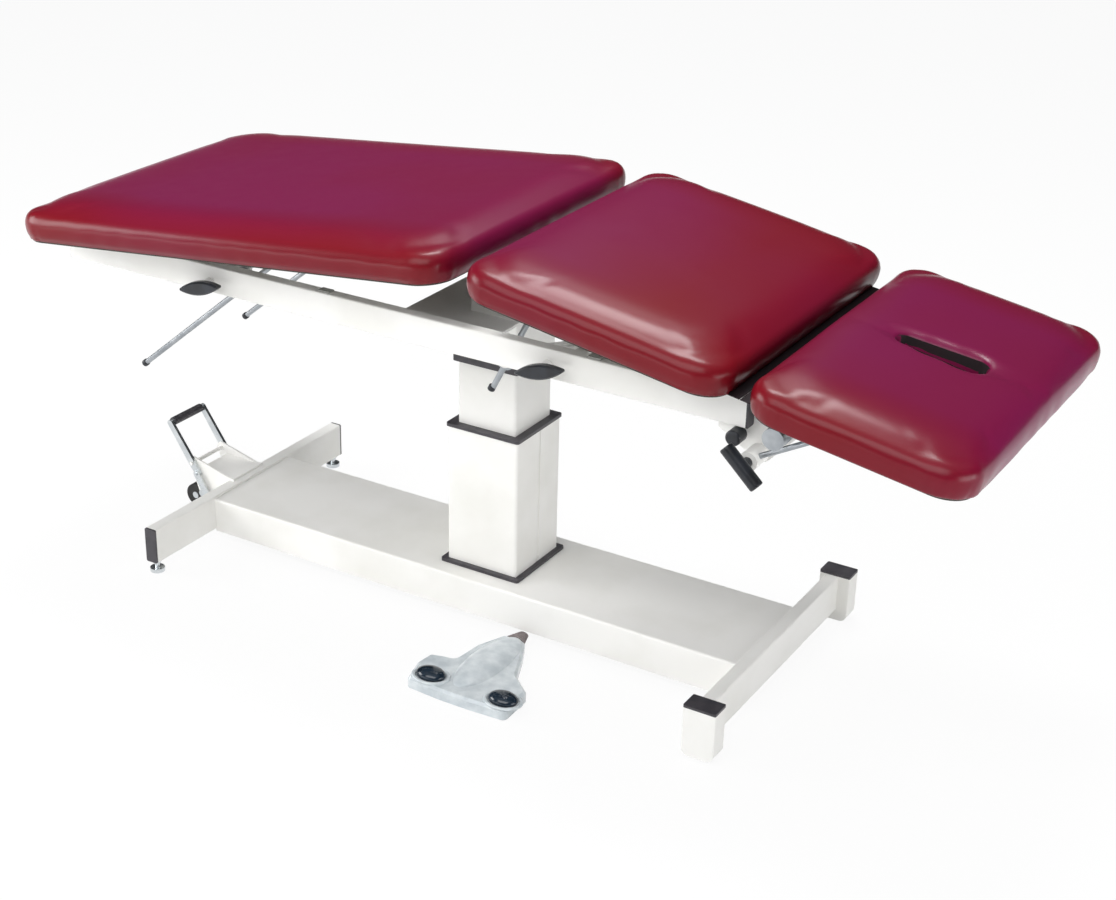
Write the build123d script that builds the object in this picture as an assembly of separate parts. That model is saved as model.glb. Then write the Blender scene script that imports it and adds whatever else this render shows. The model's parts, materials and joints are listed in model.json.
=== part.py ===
from build123d import *
import os
from math import atan2, cos, degrees, hypot, radians, sin

# Treatment table with three padded sections on a motor-driven column.
# X runs along the table towards the head, Y across it, Z up.
# The origin is on the floor under the middle of the column. All lengths are in millimetres.

# Clearances and plate stock
fit = 0.05
running_gap = 0.3
overrun = 5.0
plate_wall = 4.0
pin_head = 2.5
tube_corner = 3.0

# Base plank and its two end tubes
plank_left = -633.0
plank_right = 580.0
plank_half_width = 127.0
plank_bottom = 21.0
plank_top = 94.0
plank_corner = 5.0
foot_tube_width = 27.0
foot_tube_bottom = 25.0
foot_tube_top = 100.0
base_half_width = 313.0
head_tube_width = 27.0
end_cap_thickness = 4.0
tube_wall = 3.0

# Legs at the head end, each round a fixed wheel
leg_length = 64.0
leg_width = 41.5
leg_centre_x = 599.0
leg_bottom = 4.0
leg_top = 100.0
leg_cap_thickness = 5.0
leg_wheel_radius = 25.0
leg_wheel_width = 22.0
leg_axle_radius = 5.0
leg_cap_margin = 1.0
leg_foot_round = 16.0

# Levelling feet at the foot end
levelling_inset = 15.6
levelling_pad_radius = 15.0
levelling_pad_height = 8.0
levelling_stem_radius = 5.0
levelling_nut_radius = 9.0
levelling_nut_height = 6.0

# Lifting column
column_half = 79.2
column_wall = 3.0
column_corner = 6.0
column_top = 386.0
column_groove_width = 10.0
column_groove_depth = 2.0
collar_height = 6.5
base_collar_overhang = 10.3
top_collar_overhang = 2.8
inner_half = 65.0
inner_bottom = 225.0
collar_gap = 0.5
guide_length = 84.0
guide_width = 60.0
inner_ring_bottom = 521.0
inner_ring_height = 12.0
inner_ring_wall = 8.0
head_box_wall = 5.0

# Lifting actuator inside the column
actuator_foot_height = 14.0
actuator_motor_radius = 42.0
actuator_motor_height = 90.0
actuator_tube_radius = 24.0
actuator_head_gap = 26.0
actuator_rod_radius = 12.0
actuator_rod_bottom = 235.0

# Long rails of the lifted frame
rail_bottom = 620.0
rail_height = 55.0
rail_width = 25.0
rail_outer = 250.0
rail_left = -861.0
rail_right = 620.0
rail_wall = 2.5
rail_cap_thickness = 3.5
rail_cap_plug = 14.0
bumper_length = 25.0
bumper_width = 16.0
bumper_gap = 3.0
bumper_places = (-620.0, -240.0, 330.0, 560.0)
cross_tube_size = 25.0
cross_tube_rise = 15.0
foot_cross_tube_x = -612.5
seat_cross_tube_x = 274.5

# Plate over the column and the control box on it
top_plate_left = -145.0
top_plate_thickness = 5.0
control_box_left = -40.0
control_box_right = 65.0
control_box_half_width = 62.0
control_box_height = 45.0
control_box_round = 4.0
gland_radius = 10.0
gland_length = 12.0
gland_flange_radius = 14.0
gland_flange_length = 3.0
gland_x = 140.0
gland_height = 60.0

# Padded sections: boards lie level on the bumpers before they are tilted to rest
pad_half_width = 355.0
pad_thickness = 72.0
pad_corner = 66.0
pad_smallest_corner = 14.0
pad_roll = 32.0
pad_profile_shares = (
    (0.0, 0.28), (0.10, 0.09), (0.29, 0.0), (0.53, 0.05), (0.71, 0.22),
    (0.84, 0.50), (0.92, 0.90), (0.96, 1.50), (0.985, 2.40), (1.0, 3.60),
)
board_thickness = 15.0
board_inset = 12.0
foot_pad_left = -907.0
foot_pad_right = 92.0
seat_pad_left = 94.0
seat_pad_right = 610.0
head_pad_left = 637.0
head_pad_right = 1036.0

# Face slot of the head pad
slot_left = 757.0
slot_right = 922.0
slot_left_radius = 15.0
slot_right_radius = 25.0
slot_roll = 7.0

# Section hinges and the tilt of each section as it stands
foot_hinge_x = -850.0
foot_hinge_drop = 14.0
foot_hinge_radius = 5.0
foot_ear_radius = 12.0
foot_ear_length = 60.0
main_hinge_x = 698.0
main_hinge_drop = 33.0
main_tube_radius = 19.0
main_tube_half_length = 312.0
main_tube_wall = 3.0
main_tube_plug = 3.0
main_ear_radius = 24.0
head_ear_tops = ((98.0, 0.0), (75.0, 0.0), (45.0, 8.0))
seat_ear_tops = ((150.0, 0.0), (102.0, 0.0), (70.0, 21.0))
main_ear_neck = 16.0
main_ear_neck_rise = 17.0
main_arm_gap = 27.0
ear_thickness = 6.0
arm_width = 30.0
arm_height = 15.0
arm_wall = 2.0
arm_rail_gap = 7.0
arm_end_inset = 50.0
foot_tilt = 6.15
seat_tilt = 9.35
head_tilt = -9.26

# Support rods of the foot and seat sections with their swivelling locks
strut_y = 160.0
strut_radius = 5.5
lock_radius = 20.0
lock_half_width = 13.0
trunnion_radius = 6.0
cheek_thickness = 5.0
cheek_round = 14.0
foot_lock_x = -500.0
foot_lock_drop = 16.5
foot_strut_angle = 39.4
foot_strut_reach = 172.5
foot_strut_tail = 344.0
seat_lock_x = 108.0
seat_lock_drop = 22.7
seat_strut_angle = 63.2
seat_strut_reach = 163.5
seat_strut_tail = 75.5
cross_pin_radius = 4.0
cross_pin_half_length = 12.0
cross_pin_inset = 6.0
clevis_thickness = 4.0
clevis_half_gap = 7.0
clevis_rim = 7.0
clevis_plate = 3.0
window_clearance = 0.8
foot_window_back = 10.0
foot_window_front = 1.0
foot_window_down = 1.5
foot_window_up = 6.8
seat_window_back = 15.5
seat_window_front = 2.0
seat_window_down = 3.2
seat_window_up = 8.5
head_window_back = 3.0
head_window_front = 3.5
head_window_down = 2.6
head_window_up = 3.6

# Release shafts and paddles
release_radius = 6.0
release_overhang = 34.0
release_cheek_round = 13.0
foot_release_x = -505.0
foot_release_rise = 18.0
seat_release_x = 243.0
seat_release_rise = 23.0
finger_width = 6.0
finger_thickness = 9.0
finger_gap = 1.0
bush_radius = 8.5
bush_flange_radius = 12.0
bush_flange_thickness = 3.0
paddle_length = 104.0
paddle_height = 27.0
paddle_thickness = 13.0
paddle_end_wall = 3.0
paddle_round = 3.0
paddle_tip_radius = 3.0
paddle_pitch = 14.0

# Head section clamp with its tee handle
bracket_thickness = 6.0
bracket_left = 560.0
bracket_low = 600.0
bracket_root_length = 25.0
clamp_reach = 20.5
clamp_drop = 44.0
clamp_radius = 17.0
clamp_boss_radius = 20.0
clamp_gap = 8.0
clamp_width = 44.0
clamp_pin_radius = 6.0
clamp_pin_length = 24.0
head_strut_y = 260.0
head_strut_radius = 5.0
head_strut_angle = 29.0
head_strut_reach = 147.6
head_strut_tail = 27.0
screw_radius = 4.0
screw_tip_gap = 0.4
tee_y = 300.0
tee_length = 84.0
tee_radius = 12.5
tee_hub_radius = 9.0
tee_angle = -43.5
tee_round = 3.0
knob_setback = 14.0
knob_drop = 15.0
knob_radius = 14.0
knob_outer_y = 268.0
knob_inner_y = 240.0
knob_stud_radius = 4.0
knob_round = 4.0

# Pedal that lowers the two casters at the foot end
caster_plate_half = 48.0
caster_plate_wall = 4.0
caster_top_plate = 5.0
caster_bracket_left = -742.0
caster_bracket_low = 60.0
caster_bracket_root = 40.0
pedal_pivot_x = -755.0
pedal_pivot_z = 117.0
pedal_pivot_radius = 4.0
pedal_ear_radius = 12.0
pedal_top_x = -810.0
pedal_top_z = 198.0
pedal_bar_thickness = 7.0
pedal_bar_radius = 5.0
pedal_end_radius = 6.5
pedal_eye_radius = 8.0
pedal_grip_radius = 9.0
pedal_grip_half_length = 44.0
link_pin_x = -741.0
link_pin_z = 97.0
link_pin_radius = 3.5
link_eye_radius = 7.0
link_thickness = 4.0
link_slack = 1.8
link_foot_eye_radius = 9.0
rocker_x = -731.0
rocker_z = 52.0
rocker_shaft_radius = 5.0
rocker_ear_radius = 12.0
rocker_pin_x = -709.0
rocker_pin_z = 42.0
caster_x = -760.0
caster_z = 35.0
caster_radius = 25.0
caster_width = 18.0
caster_centre_y = 33.0
caster_axle_radius = 5.0
caster_ring_radius = 7.5
caster_ring_width = 1.4
yoke_half_width = 20.0
yoke_round = 8.0

# Foot control that stands in front of the table
control_left = 21.0
control_front = -393.0
control_width = 230.0
control_depth = 234.0
control_height = 22.0
control_round = 5.0
control_corner = 10.0
control_outline_shares = (
    (0.07, 0.02), (0.0, 0.27), (0.02, 0.42), (0.12, 0.45), (0.23, 0.47), (0.26, 0.74), (0.37, 1.0),
    (0.57, 1.0), (0.66, 0.82), (0.79, 0.52), (0.99, 0.35), (1.0, 0.02), (0.65, 0.0), (0.38, 0.0),
)
boot_left_share = 0.36
boot_right_share = 0.58
boot_length = 32.0
boot_height = 25.0
boot_top_share = 0.75
treadle_length = 51.0
treadle_width = 38.0
treadle_thickness = 12.0
treadle_lift = 5.0
treadle_stem_radius = 5.0
treadle_stem_depth = 14.0
treadle_round = 6.0
raise_x_share = 0.222
lower_x_share = 0.909
treadle_y_share = 0.135

# Heights and places that follow from the sizes above
rail_top = rail_bottom + rail_height
rail_inner = rail_outer - rail_width
release_half_length = rail_outer + release_overhang
board_underside = rail_top + bumper_gap
cross_tube_bottom = rail_bottom + cross_tube_rise
arm_outer = rail_inner - arm_rail_gap
arm_inner = arm_outer - arm_width
foot_hinge = (foot_hinge_x, board_underside - foot_hinge_drop)
main_hinge = (main_hinge_x, board_underside - main_hinge_drop)
foot_lock = (foot_lock_x, rail_bottom - foot_lock_drop)
seat_lock = (seat_lock_x, rail_bottom - seat_lock_drop)
foot_release = (foot_release_x, rail_bottom + foot_release_rise)
seat_release = (seat_release_x, rail_bottom + seat_release_rise)
clamp_centre = (rail_right + clamp_reach, rail_bottom - clamp_drop)
knob_centre = (rail_right - knob_setback, rail_bottom - knob_drop)
pedal_pivot = (pedal_pivot_x, pedal_pivot_z)
pedal_top = (pedal_top_x, pedal_top_z)
link_pin = (link_pin_x, link_pin_z)
rocker_centre = (rocker_x, rocker_z)
rocker_pin = (rocker_pin_x, rocker_pin_z)
caster_centre = (caster_x, caster_z)

parts = {}


def keep(name, *solids):
    """Store one node; several solids stay separate inside it."""
    if len(solids) == 1:
        parts[name] = solids[0]
    else:
        parts[name] = Compound(label=name, children=list(solids))


def block(x0, x1, y0, y1, z0, z1):
    """Box between two corners."""
    centre = ((x0 + x1) / 2, (y0 + y1) / 2, (z0 + z1) / 2)
    return Pos(*centre) * Box(x1 - x0, y1 - y0, z1 - z0)


def bar(axis, corner, *corners):
    """Box whose four edges along one axis are rounded, as on rolled tube."""
    return fillet(block(*corners).edges().filter_by(axis), corner)


def plate(profile, y0, y1):
    """Profile drawn in X and Z, given thickness across the table from y0 to y1."""
    return extrude(Plane.XZ.offset(-y1) * profile, y1 - y0)


def disc(centre, radius):
    """Circle at a point of the X and Z plane."""
    return Pos(*centre) * Circle(radius)


def cross_bar(centre, radius, y0, y1):
    """Round bar across the table."""
    return plate(disc(centre, radius), y0, y1)


def strap(*discs):
    """Outline of a belt drawn tight round some circles or rectangles."""
    return make_hull([edge for shape in discs for edge in shape.edges()])


def slanted_bar(start, end, y, radius):
    """Round bar between two points of the X and Z plane."""
    run = (end[0] - start[0], 0, end[1] - start[1])
    base = Plane(origin=(start[0], y, start[1]), z_dir=run)
    return extrude(base * Circle(radius), hypot(run[0], run[2]))


def along(point, angle, distance):
    """Point at a distance from another, at an angle above the X axis."""
    return (point[0] + distance * cos(radians(angle)), point[1] + distance * sin(radians(angle)))


def turned(point, pivot, angle):
    """Point turned about a pivot, anticlockwise as seen from the near side."""
    x, z = point[0] - pivot[0], point[1] - pivot[1]
    c, s = cos(radians(angle)), sin(radians(angle))
    return (pivot[0] + c * x - s * z, pivot[1] + s * x + c * z)


def tilted(shape, pivot, angle):
    """Solid turned about a pivot line across the table, the same way as turned()."""
    return shape.rotate(Axis((pivot[0], 0, pivot[1]), (0, 1, 0)), -angle)


def far(shape):
    """Copy of a near-side solid on the far side."""
    return mirror(shape, about=Plane.XZ)


def square_ring(half_outer, half_inner, z0, z1, corner):
    """Square frame round the column axis with rounded outer corners."""
    outer = bar(Axis.Z, corner, -half_outer, half_outer, -half_outer, half_outer, z0, z1)
    return outer - block(-half_inner, half_inner, -half_inner, half_inner, z0 - overrun, z1 + overrun)


# Base


def base_plank():
    """Folded steel cover of the base, open underneath."""
    outer = block(plank_left, plank_right, -plank_half_width, plank_half_width, plank_bottom, plank_top)
    outer = fillet(outer.edges().filter_by(Axis.X).group_by(Axis.Z)[-1], plank_corner)
    inner_half_width = plank_half_width - plate_wall
    return outer - block(
        plank_left - overrun, plank_right + overrun, -inner_half_width, inner_half_width,
        plank_bottom - overrun, plank_top - plate_wall,
    )


def foot_end_tube():
    """Cross tube at the foot end with holes for the levelling stems."""
    x0, x1 = plank_left - foot_tube_width, plank_left
    span = base_half_width - end_cap_thickness
    tube = bar(Axis.Y, tube_corner, x0, x1, -span, span, foot_tube_bottom, foot_tube_top)
    tube -= block(
        x0 + tube_wall, x1 - tube_wall, -span - overrun, span + overrun,
        foot_tube_bottom + tube_wall, foot_tube_top - tube_wall,
    )
    for side in (-1, 1):
        hole = Cylinder(levelling_stem_radius, 2 * tube_wall + overrun)
        tube -= Pos((x0 + x1) / 2, side * levelling_y(), foot_tube_bottom) * hole
    return tube


def levelling_y():
    return base_half_width - levelling_inset


def foot_end_caps():
    """Black plugs in the ends of the foot-end tube."""
    x0, x1 = plank_left - foot_tube_width, plank_left
    inner = base_half_width - end_cap_thickness
    cap = bar(Axis.Y, tube_corner, x0, x1, -base_half_width, -inner, foot_tube_bottom, foot_tube_top)
    return cap, far(cap)


def levelling_feet():
    """Screw feet: pad, nut and stem up into the tube."""
    x = plank_left - foot_tube_width / 2
    neck = foot_tube_bottom - levelling_nut_height
    pad = Cylinder(levelling_pad_radius, levelling_pad_height, align=(Align.CENTER, Align.CENTER, Align.MIN))
    stem_length = foot_tube_bottom + tube_wall + overrun - levelling_pad_height
    stem = Cylinder(levelling_stem_radius, stem_length, align=(Align.CENTER, Align.CENTER, Align.MIN))
    nut = extrude(RegularPolygon(levelling_nut_radius, 6), levelling_nut_height)
    foot = pad + Pos(0, 0, levelling_pad_height) * stem + Pos(0, 0, neck) * nut
    near = Pos(x, -levelling_y(), 0) * foot
    return near, far(near)


def leg():
    """Upright tube at a head-end corner, open below for its wheel."""
    x0, x1 = leg_centre_x - leg_length / 2, leg_centre_x + leg_length / 2
    y0, y1 = -base_half_width, -base_half_width + leg_width
    tube = bar(Axis.Z, tube_corner, x0, x1, y0, y1, leg_bottom, leg_top)
    tube -= block(
        x0 + tube_wall, x1 - tube_wall, y0 + tube_wall, y1 - tube_wall,
        leg_bottom - overrun, leg_top + overrun,
    )
    low = leg_bottom + leg_foot_round
    side_view = strap(
        disc((x0 + leg_foot_round, low), leg_foot_round), disc((x1 - leg_foot_round, low), leg_foot_round),
        Pos(leg_centre_x, (low + leg_top) / 2) * Rectangle(leg_length, leg_top - low),
    )
    tube &= plate(side_view, y0, y1)
    return tube - cross_bar((leg_centre_x, leg_wheel_radius), leg_axle_radius, y0 - overrun, y1 + overrun)


def leg_cap():
    """Black plastic cap on a leg."""
    x0, x1 = leg_centre_x - leg_length / 2, leg_centre_x + leg_length / 2
    y0, y1 = -base_half_width, -base_half_width + leg_width
    top = bar(Axis.Z, tube_corner, x0, x1, y0, y1, leg_top, leg_top + leg_cap_thickness)
    inset = tube_wall + leg_cap_margin
    return top + block(x0 + inset, x1 - inset, y0 + inset, y1 - inset, leg_top - leg_cap_thickness, leg_top)


def leg_axle():
    """Axle pin through both walls of the leg, ground flush with them."""
    return cross_bar(
        (leg_centre_x, leg_wheel_radius), leg_axle_radius, -base_half_width, -base_half_width + leg_width
    )


def leg_wheel():
    """Fixed wheel inside a leg, a little proud of it below."""
    centre = (leg_centre_x, leg_wheel_radius)
    middle = -base_half_width + leg_width / 2
    y0, y1 = middle - leg_wheel_width / 2, middle + leg_wheel_width / 2
    wheel = cross_bar(centre, leg_wheel_radius, y0, y1)
    return wheel - cross_bar(centre, leg_axle_radius + fit, y0 - overrun, y1 + overrun)


def head_end_tube():
    """Cross tube between the two legs."""
    x0, x1 = plank_right, plank_right + head_tube_width
    span = base_half_width - leg_width
    tube = bar(Axis.Y, tube_corner, x0, x1, -span, span, foot_tube_bottom, foot_tube_top)
    return tube - block(
        x0 + tube_wall, x1 - tube_wall, -span - overrun, span + overrun,
        foot_tube_bottom + tube_wall, foot_tube_top - tube_wall,
    )


def mains_gland():
    """Gland in the far side of the plank for the mains lead."""
    centre = (gland_x, gland_height)
    flange = cross_bar(centre, gland_flange_radius, plank_half_width, plank_half_width + gland_flange_length)
    return flange + cross_bar(centre, gland_radius, plank_half_width, plank_half_width + gland_length)


# Column


def column_outer_tube():
    """Fixed lower tube with a shallow groove down the two end faces."""
    tube = square_ring(column_half, column_half - column_wall, plank_top, column_top, column_corner)
    for side in (-1, 1):
        face = side * column_half
        x0, x1 = sorted((face, face - side * column_groove_depth))
        groove = column_groove_width / 2
        tube -= block(x0, x1, -groove, groove, plank_top - overrun, column_top + overrun)
    return tube


def column_guides():
    """Four plastic slides between the two tubes."""
    half = column_half - column_wall
    inner = inner_half + running_gap
    pad = block(inner, half, -guide_width / 2, guide_width / 2, column_top - guide_length, column_top)
    return [pad.rotate(Axis.Z, turn * 90) for turn in range(4)]


def lift_actuator():
    """Electric actuator: foot, motor housing and guide tube with a bore for the rod."""
    foot_top = plank_top + actuator_foot_height
    motor = Cylinder(actuator_motor_radius, actuator_motor_height, align=(Align.CENTER, Align.CENTER, Align.MIN))
    actuator_top = column_top - actuator_head_gap
    tube_height = actuator_top - plank_top
    tube = Cylinder(actuator_tube_radius, tube_height, align=(Align.CENTER, Align.CENTER, Align.MIN))
    bore_height = actuator_top - foot_top + overrun
    bore = Cylinder(actuator_rod_radius + fit, bore_height, align=(Align.CENTER, Align.CENTER, Align.MIN))
    body = Pos(0, 0, plank_top) * (motor + tube)
    return body - Pos(0, 0, foot_top) * bore


def actuator_rod():
    """Push rod from the actuator up to the top plate."""
    length = rail_bottom - actuator_rod_bottom
    rod = Cylinder(actuator_rod_radius, length, align=(Align.CENTER, Align.CENTER, Align.MIN))
    return Pos(0, 0, actuator_rod_bottom) * rod


# Lifted frame


def rail():
    """Long near-side rail, closed at the foot end, with holes for the shafts and the foot hinge."""
    y0, y1 = -rail_outer, -rail_inner
    tube = bar(Axis.X, tube_corner, rail_left, rail_right, y0, y1, rail_bottom, rail_top)
    tube -= block(
        rail_left + rail_wall, rail_right + overrun, y0 + rail_wall, y1 - rail_wall,
        rail_bottom + rail_wall, rail_top - rail_wall,
    )
    for centre, radius in (
        (foot_release, bush_radius), (seat_release, bush_radius), (foot_hinge, foot_hinge_radius),
    ):
        tube -= cross_bar(centre, radius, y0 - overrun, y1 + overrun)
    return tube


def rail_cap():
    """Black plug in the head end of a rail."""
    y0, y1 = -rail_outer, -rail_inner
    plug_left = rail_right - rail_cap_plug
    cap = bar(Axis.X, tube_corner, rail_right, rail_right + rail_cap_thickness, y0, y1, rail_bottom, rail_top)
    return cap + block(
        plug_left, rail_right, y0 + rail_wall, y1 - rail_wall, rail_bottom + rail_wall, rail_top - rail_wall
    )


def cross_tube(x):
    """Square tube between the rails that carries a pair of locks."""
    half = cross_tube_size / 2
    z0, z1 = cross_tube_bottom, cross_tube_bottom + cross_tube_size
    tube = bar(Axis.Y, tube_corner, x - half, x + half, -rail_inner, rail_inner, z0, z1)
    return tube - block(
        x - half + arm_wall, x + half - arm_wall, -rail_inner - overrun, rail_inner + overrun,
        z0 + arm_wall, z1 - arm_wall,
    )


def bumpers():
    """Rubber pads on the rails that the boards rest on when level."""
    near = []
    for x in bumper_places:
        middle = (rail_outer + rail_inner) / 2
        near.append(block(
            x - bumper_length / 2, x + bumper_length / 2,
            -middle - bumper_width / 2, -middle + bumper_width / 2,
            rail_top, board_underside - running_gap,
        ))
    return near + [far(pad) for pad in near]


def top_plate():
    """Plate that ties the column to both rails."""
    right = inner_half + head_box_wall
    return block(
        top_plate_left, right, -rail_inner, rail_inner, rail_bottom, rail_bottom + top_plate_thickness
    )


def control_box():
    """Electrical housing on the top plate, under the boards."""
    z0 = rail_bottom + top_plate_thickness
    box = block(
        control_box_left, control_box_right, -control_box_half_width, control_box_half_width,
        z0, z0 + control_box_height,
    )
    return fillet(box.edges().filter_by(Axis.Z) + box.edges().group_by(Axis.Z)[-1], control_box_round)


def lock_cheek(lock, release, tube_x, y0):
    """Plate from a cross tube to a lock trunnion, with a hole for the release shaft."""
    half = cross_tube_size / 2
    facing = tube_x - half if lock[0] < tube_x and release[0] < tube_x else tube_x + half
    root_width = cheek_thickness
    root_x = facing - root_width / 2 if facing < tube_x else facing + root_width / 2
    root = Pos(root_x, cross_tube_bottom + half) * Rectangle(root_width, cross_tube_size)
    outline = strap(root, disc(release, release_cheek_round), disc(lock, cheek_round))
    outline -= disc(release, release_radius + fit)
    outline -= disc(lock, trunnion_radius + fit)
    return plate(outline, y0, y0 + cheek_thickness)


def lock_cheeks(lock, release, tube_x):
    """Two cheeks each side of each of the two locks on one cross tube."""
    inside = -strut_y + lock_half_width + running_gap
    outside = -strut_y - lock_half_width - running_gap - cheek_thickness
    near = [lock_cheek(lock, release, tube_x, y0) for y0 in (inside, outside)]
    return near + [far(cheek) for cheek in near]


def lock_body(lock, angle):
    """Barrel with a bore for the rod and a trunnion each side."""
    y0, y1 = -strut_y - lock_half_width, -strut_y + lock_half_width
    reach = running_gap + cheek_thickness + overrun
    barrel = cross_bar(lock, lock_radius, y0, y1)
    barrel += cross_bar(lock, trunnion_radius, y0 - reach, y1 + reach)
    start = along(lock, angle, -lock_radius - overrun)
    end = along(lock, angle, lock_radius + overrun)
    near = barrel - slanted_bar(start, end, -strut_y, strut_radius + fit)
    return near, far(near)


def support_rod(lock, angle, reach, tail):
    """Rod through a lock, with a cross pin near its upper end."""
    pin = along(lock, angle, reach)
    near = slanted_bar(along(lock, angle, -tail), along(lock, angle, reach + cross_pin_inset), -strut_y, strut_radius)
    near += cross_bar(pin, cross_pin_radius, -strut_y - cross_pin_half_length, -strut_y + cross_pin_half_length)
    return near, far(near)


def bush(release):
    """Flanged plastic bush for a release shaft in the near rail."""
    outline = cross_bar(release, bush_radius, -rail_outer - bush_flange_thickness, -rail_inner)
    outline += cross_bar(release, bush_flange_radius, -rail_outer - bush_flange_thickness, -rail_outer)
    return outline - cross_bar(release, release_radius + fit, -rail_outer - overrun, -rail_inner + overrun)


def release_shaft(release, lock):
    """Shaft across both rails with a finger towards each lock."""
    shaft = cross_bar(release, release_radius, -release_half_length, release_half_length)
    gap = hypot(lock[0] - release[0], lock[1] - release[1])
    angle = degrees(atan2(lock[1] - release[1], lock[0] - release[0]))
    reach = gap - lock_radius - finger_gap
    finger = Pos(*release) * Rot(0, 0, angle) * Pos(reach / 2, 0) * Rectangle(reach, finger_thickness)
    for side in (-1, 1):
        middle = side * strut_y
        shaft += plate(finger, middle - finger_width / 2, middle + finger_width / 2)
    return shaft


def paddle(release):
    """Lens-shaped hand paddle on the near end of a release shaft."""
    half, rise = paddle_length / 2, paddle_height / 2
    left, right = (-half, 0), (half, 0)
    lens = ThreePointArc(left, (0, rise), right) + ThreePointArc(right, (0, -rise), left)
    lens = make_face(lens)
    outline = Pos(*release) * Rot(0, 0, paddle_pitch) * fillet(lens.vertices(), paddle_tip_radius)
    y0 = -release_half_length - paddle_end_wall
    solid = plate(outline, y0, y0 + paddle_thickness)
    solid = chamfer(solid.edges().group_by(Axis.Y)[0], paddle_round)
    return solid - cross_bar(release, release_radius, -release_half_length, y0 + paddle_thickness + overrun)


# Padded sections


def rounded_slab(x0, x1, half_width, corner, z):
    """Flat rounded outline at one height."""
    outline = RectangleRounded(x1 - x0, 2 * half_width, corner)
    return Pos((x0 + x1) / 2, 0, z) * outline


def board(x0, x1):
    """Plywood board let into the underside of a pad."""
    outline = rounded_slab(
        x0 + board_inset, x1 - board_inset, pad_half_width - board_inset,
        pad_corner - board_inset, board_underside,
    )
    return extrude(outline, board_thickness)


def pad(x0, x1):
    """Upholstered pad: tucked lower edge, full sides, rolled top edge and a low crown."""
    sections = []
    for rise_share, inset_share in pad_profile_shares:
        inset = inset_share * pad_roll
        corner = max(pad_corner - inset, pad_smallest_corner)
        height = board_underside + rise_share * pad_thickness
        sections.append(rounded_slab(x0 + inset, x1 - inset, pad_half_width - inset, corner, height))
    return loft(sections, ruled=True)


def slot_outline(grow):
    """Outline of the face slot, wider towards the head end."""
    left = disc((slot_left + slot_left_radius, 0), slot_left_radius + grow)
    right = disc((slot_right - slot_right_radius, 0), slot_right_radius + grow)
    return strap(left, right)


def face_slot():
    """Opening through the head pad with a rolled upper edge."""
    top = board_underside + pad_thickness
    cut = extrude(Pos(0, 0, board_underside - overrun) * slot_outline(0), pad_thickness + 2 * overrun)
    lower = Pos(0, 0, top - slot_roll) * slot_outline(0)
    upper = Pos(0, 0, top + overrun) * slot_outline(slot_roll + overrun)
    return cut, loft([lower, upper])


def clevis(pivot, y, windows, inner_y):
    """Two cheeks under a board with oval windows round a rod's cross pin."""
    back, front, down, up = windows
    loose = cross_pin_radius + window_clearance
    low = (pivot[0] - back, pivot[1] - down)
    window_width = back + front + 2 * loose
    window_height = down + up + 2 * loose
    centre = ((low[0] + pivot[0] + front) / 2, (low[1] + pivot[1] + up) / 2)
    window = Pos(*centre) * RectangleRounded(window_width, window_height, loose)
    width = window_width + 2 * clevis_rim
    bottom = centre[1] - window_height / 2 - clevis_rim
    cheek = Pos(centre[0], (bottom + board_underside) / 2) * Rectangle(width, board_underside - bottom)
    cheek -= window
    inside = clevis_half_gap
    outside = clevis_half_gap + clevis_thickness
    near = plate(cheek, -y - outside, -y - inside) + plate(cheek, -y + inside, -y + outside)
    y0, y1 = sorted((-y + outside, -inner_y)) if inner_y < y else (-inner_y, -y + outside)
    y0 = min(y0, -y - outside)
    return near + block(
        centre[0] - width / 2, centre[0] + width / 2, y0, y1, board_underside - clevis_plate, board_underside
    )


def arm(x0, x1, closed_wall):
    """Rectangular tube under a board, on the near side."""
    tube = block(x0, x1, -arm_outer, -arm_inner, board_underside - arm_height, board_underside)
    return tube - block(
        x0 + closed_wall, x1 - closed_wall, -arm_outer + arm_wall, -arm_inner - arm_wall,
        board_underside - arm_height + arm_wall, board_underside - arm_wall,
    )


def foot_arm():
    """Near arm of the foot section with its hinge ear and rod clevis."""
    ear_x = foot_hinge[0] + foot_ear_radius + overrun
    tube = arm(ear_x, foot_pad_right - arm_end_inset, arm_wall)
    root = Pos(foot_hinge[0] + foot_ear_length - arm_height / 2, board_underside - arm_height / 2) * Rectangle(
        arm_height, arm_height
    )
    ear = plate(strap(disc(foot_hinge, foot_ear_radius), root), -arm_outer, -arm_outer + ear_thickness)
    ear -= cross_bar(foot_hinge, foot_hinge_radius + fit, -arm_outer - overrun, -arm_outer + 2 * overrun)
    tube -= block(
        ear_x - overrun, foot_hinge[0] + foot_ear_length, -arm_outer - overrun, -arm_outer + ear_thickness,
        board_underside - arm_height - overrun, board_underside + overrun,
    )
    pin = turned(along(foot_lock, foot_strut_angle, foot_strut_reach), foot_hinge, -foot_tilt)
    windows = (foot_window_back, foot_window_front, foot_window_down, foot_window_up)
    return ear + tube + clevis(pin, strut_y, windows, arm_inner)


def main_ear(side, y0, tops):
    """Ring on the main hinge tube with a neck to an arm; side is -1 to the seat, 1 to the head."""
    x, z = main_hinge
    neck = side * main_ear_neck
    points = [(x + side * reach, board_underside - drop) for reach, drop in tops]
    reach, drop = tops[0]
    points += [
        (x + neck, z + main_ear_neck_rise), (x, z - main_tube_radius),
        (x + side * main_arm_gap, z - main_ear_neck), (x + side * reach, board_underside - drop - arm_height),
    ]
    neck_face = make_face(Polyline(points, close=True))
    ring = plate(neck_face + disc(main_hinge, main_ear_radius), y0, y0 + ear_thickness)
    return ring - cross_bar(main_hinge, main_tube_radius + fit, y0 - overrun, y0 + ear_thickness + overrun)


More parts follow.
